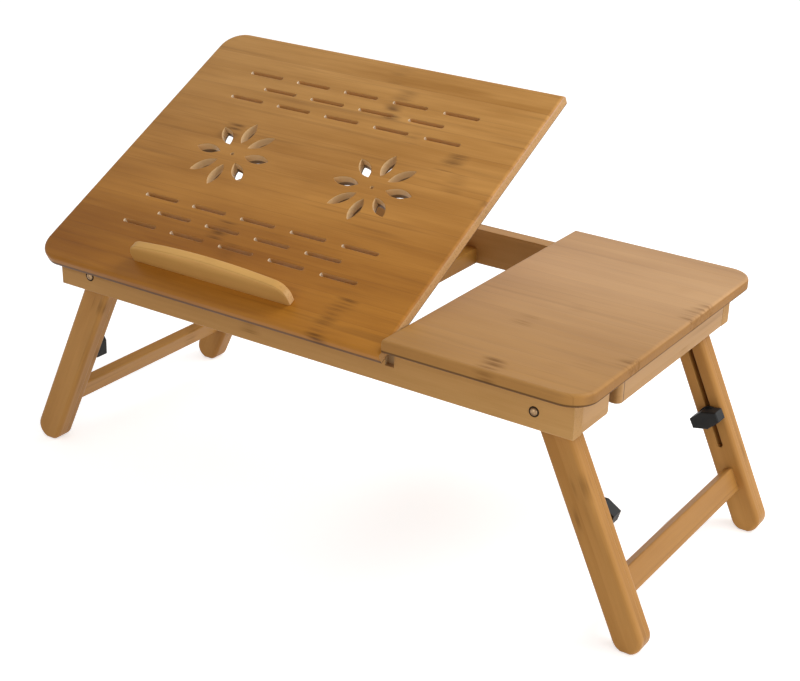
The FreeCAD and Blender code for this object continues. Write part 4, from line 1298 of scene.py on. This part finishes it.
@dataclass
class BoltCollars:
    """Dark collars round the heads of the leg pivot bolts, half sunk in the long rails."""

    radius: float = 3.5 * MM
    wire: float = 0.7 * MM
    ring_sides: int = 40
    wire_sides: int = 10

    def tree(self) -> bpy.types.NodeTree:
        """Rings of round wire on points that carry the direction of each ring.

        Returns:
            The geometry tree.
        """
        inputs = {"Points": "Geometry", "Radius": "Float", "Wire": "Float", "Finish": "Material"}
        desk = new_group("bolt_collars", "Geometry", inputs, {"Collars": "Geometry"})
        given = desk.add("NodeGroupInput").outputs
        circles = []
        for sides, radius in ((self.ring_sides, "Radius"), (self.wire_sides, "Wire")):
            circle = desk.add("GeometryNodeCurvePrimitiveCircle")
            circle.inputs["Resolution"].default_value = sides
            desk.feed(circle.inputs["Radius"], given[radius])
            circles.append(circle.outputs["Curve"])
        swept = desk.add("GeometryNodeCurveToMesh")
        desk.feed(swept.inputs["Curve"], circles[0])
        desk.feed(swept.inputs["Profile Curve"], circles[1])
        smooth = desk.add("GeometryNodeSetShadeSmooth")
        desk.feed(smooth.inputs["Geometry"], swept.outputs["Mesh"])
        set_on_points(desk, given, smooth.outputs[0], "Collars")
        return desk.tree

    @staticmethod
    def spots(survey: Survey) -> list[Spot]:
        """Places and directions of the collars on the faces of the long rails.

        Args:
            survey: The table's angles and places.

        Returns:
            Pairs of place and outward direction.
        """
        faces = ((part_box("front_rail")[0].y, -1.0), (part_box("back_rail")[1].y, 1.0))
        found = []
        for side in ("left", "right"):
            x, _, z = survey.joints[f"{side}_leg_fold"]["pos_m"]
            for y, outward in faces:
                found.append((Vector((x, y, z)), Vector((0.0, outward, 0.0))))
        return found

    def build(self, paintbox: Paintbox) -> None:
        """Makes the four collars on the long rails.

        Args:
            paintbox: Where the finish comes from.
        """
        name = "pivot_collars"
        carrier = point_mesh("collar_points", self.spots(paintbox.survey))
        values = {"Radius": self.radius, "Wire": self.wire}
        values["Finish"] = paintbox.make(name, DARK_STEEL)
        piece = grow(name, carrier, self.tree(), values)
        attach(piece, "frame")


@dataclass
class TableFrame:
    """Rails, fixed top, racks, drawer guides and pivot hardware.

    The notch's corners are measured from the fixed top's left end and the front rail's lower
    front edge.
    """

    inner_crosswise: tuple[str, ...] = ("middle_cross_rail", "left_rack", "drawer_stop_rail")
    inner_lengthwise: tuple[str, ...] = ("drawer_guide_front", "drawer_guide_back")
    hinge_parts: tuple[str, ...] = ("rail_leaf", "pin")
    pivot_parts: tuple[str, ...] = ("leg_pivot_bolts", "leg_pivot_spacers", "leg_pivot_nuts")
    notch_low: Place = (-12.0 * MM, 0.5 * MM, 14.5 * MM)
    notch_high: Place = (11.5 * MM, 6.5 * MM, 29.5 * MM)
    lip_depth: float = 1.2 * MM
    lip_front: float = 0.6 * MM

    def thumb_notch(self) -> Recess:
        """Finds the thumb notch of the front rail.

        Returns:
            The painted light that lightens the wood inside it.
        """
        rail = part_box("front_rail")[0]
        corner = Vector((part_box("fixed_top")[0].x, rail.y, rail.z))
        low, high = corner + Vector(self.notch_low), corner + Vector(self.notch_high)
        return Recess(NOTCH_LIGHT, tuple(low), tuple(high))

    def dress(self, paintbox: Paintbox) -> None:
        """Puts the finishes on the fixed solids.

        Args:
            paintbox: Where the finishes come from.
        """
        # The thumb notch is lightened with painted light.
        paintbox.paint("front_rail", replace(RAIL_WOOD, recess=self.thumb_notch()))
        paintbox.paint("back_rail", RAIL_WOOD)
        paintbox.paint("left_end_rail", RAIL_WOOD, Lay.CROSSWISE)
        for name in self.inner_crosswise:
            paintbox.paint(name, INNER_WOOD, Lay.CROSSWISE)
        for name in self.inner_lengthwise:
            paintbox.paint(name, INNER_WOOD)
        # The fixed top's lower edge gets a painted shadow line.
        lip = ShadowLip(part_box("fixed_top")[0].z, self.lip_depth, self.lip_front)
        paintbox.paint("fixed_top", replace(FIXED_WOOD, lip=lip))
        paintbox.paint("right_end_block", END_WOOD, Lay.CROSSWISE)
        for side in ("left", "right"):
            for part in self.hinge_parts:
                paintbox.paint(f"hinge_{side}_{part}", BRASS)
        for name in self.pivot_parts:
            paintbox.paint(name, BRONZE)


@dataclass
class TiltingTop:
    """The vented top, its ledge, hinge leaves, prop blocks and bumpers."""

    blocks: tuple[str, ...] = ("prop_block_left", "prop_block_right")
    vent_margin: float = 15.0 * MM
    flower_offset: float = 5.0 * MM
    flower_half: float = 46.0 * MM
    lip_depth: float = 1.1 * MM
    lip_front: float = 2.2 * MM

    def wood(self, survey: Survey) -> Bamboo:
        """The top's wood, with painted light on the walls of its cut vents and flowers and a
        painted shadow line on its lower edge.

        Args:
            survey: The table's angles and places.

        Returns:
            The finish.
        """
        low, high = survey.box("tilting_top", Lay.TILTED)
        middle, half = (low + high) / 2, (high - low) / 2
        cuts = CutField(
            middle=(middle.x, middle.y),
            half=(half.x - self.vent_margin, half.y - self.vent_margin),
            belt=middle.y + self.flower_offset,
            belt_half=self.flower_half,
        )
        return replace(TILTING_WOOD, lip=ShadowLip(low.z, self.lip_depth, self.lip_front), cuts=cuts)

    def dress(self, paintbox: Paintbox) -> None:
        """Puts the finishes on the solids that tilt.

        Args:
            paintbox: Where the finishes come from.
        """
        paintbox.paint("tilting_top", self.wood(paintbox.survey), Lay.TILTED)
        paintbox.paint("book_ledge", LEDGE_WOOD, Lay.TILTED)
        for name in self.blocks:
            paintbox.paint(name, INNER_WOOD, Lay.TILTED)
        for side in ("left", "right"):
            paintbox.paint(f"hinge_{side}_top_leaf", BRASS)
        paintbox.paint("bumper_pads", RUBBER)


@dataclass
class Prop:
    """Two arms on a rod that hold the top up."""

    arms: tuple[str, ...] = ("prop_arm_left", "prop_arm_right")

    def dress(self, paintbox: Paintbox) -> None:
        """Puts the finishes on the prop.

        Args:
            paintbox: Where the finishes come from.
        """
        for name in self.arms:
            paintbox.paint(name, INNER_WOOD, Lay.CROSSWISE)
        paintbox.paint("prop_rod", STEEL)


@dataclass
class LegPair:
    """The front and back leg at one end, with their crossbar, clamps and knobs."""

    side: str
    lay: Lay
    boards: tuple[str, ...] = ("leg_outer", "leg_inner", "leg_bar")

    def dress(self, paintbox: Paintbox) -> None:
        """Puts the finishes on the legs.

        Args:
            paintbox: Where the finishes come from.
        """
        for end in ("front", "back"):
            for board in self.boards:
                paintbox.paint(f"{self.side}_{end}_{board}", LEG_WOOD, self.lay)
            paintbox.paint(f"{self.side}_{end}_knob", KNOB_BLACK)
        paintbox.paint(f"{self.side}_crossbar", CROSSBAR_WOOD, Lay.CROSSWISE)
        paintbox.paint(f"{self.side}_clamp_bolts", STEEL)
        paintbox.paint(f"{self.side}_clamp_washers", STEEL)


@dataclass
class Drawer:
    """The small drawer under the fixed top."""

    lengthwise: tuple[str, ...] = ("drawer_side_front", "drawer_side_back", "drawer_bottom_board")
    seam_start: float = 6.4 * MM
    seam_width: float = 0.9 * MM
    seam_depth: float = 1.5 * MM
    overlap: float = 1.0 * MM

    def seam(self) -> Recess:
        """Finds the seam beside the rounded end of the drawer's front.

        Returns:
            The painted shadow line of the seam.
        """
        low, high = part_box("drawer_front")
        start = low.y + self.seam_start
        return Recess(
            SEAM_SHADOW,
            (high.x - self.seam_depth, start, low.z - self.overlap),
            (high.x + self.overlap, start + self.seam_width, high.z + self.overlap),
        )

    def dress(self, paintbox: Paintbox) -> None:
        """Puts the finishes on the drawer.

        Args:
            paintbox: Where the finishes come from.
        """
        # The seam beside the rounded end gets a painted shadow line.
        paintbox.paint("drawer_front", replace(END_WOOD, recess=self.seam()), Lay.CROSSWISE)
        paintbox.paint("drawer_back", DRAWER_WOOD, Lay.CROSSWISE)
        for name in self.lengthwise:
            paintbox.paint(name, DRAWER_WOOD)


def resting_tree(solids: list[bpy.types.Object]) -> bpy.types.NodeTree:
    """Lays a flat mesh at the height of the lowest point of some solids.

    Args:
        solids: The solids that stand on it.

    Returns:
        The geometry tree.
    """
    desk = new_group("resting_floor", "Geometry", {"Plane": "Geometry"}, {"Floor": "Geometry"})
    gathered = desk.add("GeometryNodeJoinGeometry")
    for solid in solids:
        read = desk.add("GeometryNodeObjectInfo", transform_space="RELATIVE")
        desk.feed(read.inputs["Object"], solid)
        desk.feed(gathered.inputs[0], read.outputs["Geometry"])
    box = desk.add("GeometryNodeBoundBox")
    desk.feed(box.inputs["Geometry"], gathered.outputs[0])
    lowest = desk.axes(box.outputs["Min"])[2]
    laid = desk.add("GeometryNodeTransform")
    desk.feed(laid.inputs["Geometry"], desk.add("NodeGroupInput").outputs["Plane"])
    desk.feed(laid.inputs["Translation"], desk.joined(0.0, 0.0, lowest))
    desk.feed(desk.add("NodeGroupOutput").inputs["Floor"], laid.outputs[0])
    return desk.tree


@dataclass(frozen=True)
class Lamp:
    """A soft square lamp, with its side in metres and its power in watts."""

    name: str
    place: Place
    target: Place
    size: float
    power: float

    def hang(self) -> None:
        """Puts the lamp in its place, facing its target."""
        light = bpy.data.lights.new(self.name, "AREA")
        light.size = self.size
        light.energy = self.power
        made = bpy.data.objects.new(self.name, light)
        made.location = self.place
        ray = Vector(self.target) - Vector(self.place)
        made.rotation_euler = ray.to_track_quat("-Z", "Y").to_euler()
        bpy.context.scene.collection.objects.link(made)


@dataclass
class Studio:
    """Floor, soft light and the camera at the photograph's place.

    The camera's focal length and optical middle are in pixels of the photograph, its place is in
    metres and its angles are in degrees.
    """

    width: int = 800
    height: int = 681
    sensor: float = 36.0
    azimuth: float = 31.85
    elevation: float = 25.996
    roll: float = 2.115
    place: Place = (0.69198, -1.03015, 0.68032)
    focal: float = 1594.31
    middle: Range = (441.0, 404.0)
    sky_light: float = 0.48
    floor_half: float = 4.0
    floor_colour: Colour = (0.9, 0.9, 0.9)
    floor_rough: float = 0.9
    floor_glow: float = 0.57
    lamps: tuple[Lamp, ...] = (
        Lamp("key", (0.9, 0.6, 1.4), (0.0, 0.0, 0.15), 1.0, 15.0),
        Lamp("side", (1.6, -0.3, 0.35), (0.0, 0.0, 0.1), 0.9, 6.0),
        Lamp("fill", (-0.2, -2.0, 1.0), (0.0, 0.0, 0.15), 1.4, 7.0),
    )

    def camera(self) -> None:
        """Sets the camera."""
        around, above = math.radians(self.azimuth), math.radians(self.elevation)
        outward = Vector((math.sin(around), -math.cos(around), 0.0))
        back = outward * math.cos(above) + Vector((0.0, 0.0, math.sin(above)))
        right = Vector((math.cos(around), math.sin(around), 0.0))
        up = back.cross(right)
        roll = math.radians(self.roll)
        side = right * math.cos(roll) + up * math.sin(roll)
        top = up * math.cos(roll) - right * math.sin(roll)
        pose = Matrix((side, top, back)).transposed().to_4x4()
        pose.translation = Vector(self.place)
        lens = bpy.data.cameras.new("camera")
        lens.sensor_width = self.sensor
        lens.lens = self.focal * self.sensor / self.width
        lens.shift_x = (self.width / 2 - self.middle[0]) / self.width
        lens.shift_y = (self.middle[1] - self.height / 2) / self.width
        made = bpy.data.objects.new("camera", lens)
        made.matrix_world = pose
        bpy.context.scene.collection.objects.link(made)
        bpy.context.scene.camera = made

    def sky(self) -> None:
        """A plain grey surrounding light that the camera and mirrors see as white."""
        world = bpy.data.worlds.new("studio")
        bpy.context.scene.world = world
        world.use_nodes = True
        desk = NodeDesk(world.node_tree)
        background = world.node_tree.nodes["Background"]
        background.inputs["Color"].default_value = opaque(WHITE)
        strength = desk.math("MULTIPLY_ADD", desk.seen(), 1.0 - self.sky_light, self.sky_light)
        desk.feed(background.inputs["Strength"], strength)

    def floor(self, solids: list[bpy.types.Object]) -> None:
        """A pale floor that keeps the shadow and lies under the lowest solid.

        Args:
            solids: The solids that stand on it.
        """
        material, desk, surface = new_material("pale_floor")
        surface.inputs["Base Color"].default_value = opaque(self.floor_colour)
        surface.inputs["Roughness"].default_value = self.floor_rough
        surface.inputs["Emission Color"].default_value = opaque(WHITE)
        glow = desk.math("MULTIPLY", desk.seen(), self.floor_glow)
        desk.feed(surface.inputs["Emission Strength"], glow)
        half = self.floor_half
        corners = [(-half, -half, 0.0), (half, -half, 0.0), (half, half, 0.0), (-half, half, 0.0)]
        mesh = bpy.data.meshes.new("floor")
        mesh.from_pydata(corners, [], [(0, 1, 2, 3)])
        mesh.materials.append(material)
        made = bpy.data.objects.new("floor", mesh)
        bpy.context.scene.collection.objects.link(made)
        made.modifiers.new("rest", "NODES").node_group = resting_tree(solids)

    def build(self, solids: list[bpy.types.Object]) -> None:
        """Sets up the whole studio.

        Args:
            solids: The solids that stand on the floor.
        """
        bpy.context.scene.view_settings.view_transform = "Standard"
        self.camera()
        self.sky()
        self.floor(solids)
        for lamp in self.lamps:
            lamp.hang()


def main() -> None:
    """Builds the looks in order and reports each piece."""
    logging.basicConfig(level=logging.INFO, format="%(message)s")
    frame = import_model()
    survey = Survey(frame)
    paintbox = Paintbox(survey)
    parts = (
        TableFrame(),
        TiltingTop(),
        Prop(),
        LegPair("right", Lay.RIGHT_LEG),
        LegPair("left", Lay.LEFT_LEG),
        Drawer(),
    )
    for part in parts:
        part.dress(paintbox)
    HingeScrews().build(paintbox)
    BoltCollars().build(paintbox)
    Studio().build(list(survey.solids.values()))


if __name__ == "__main__":
    main()
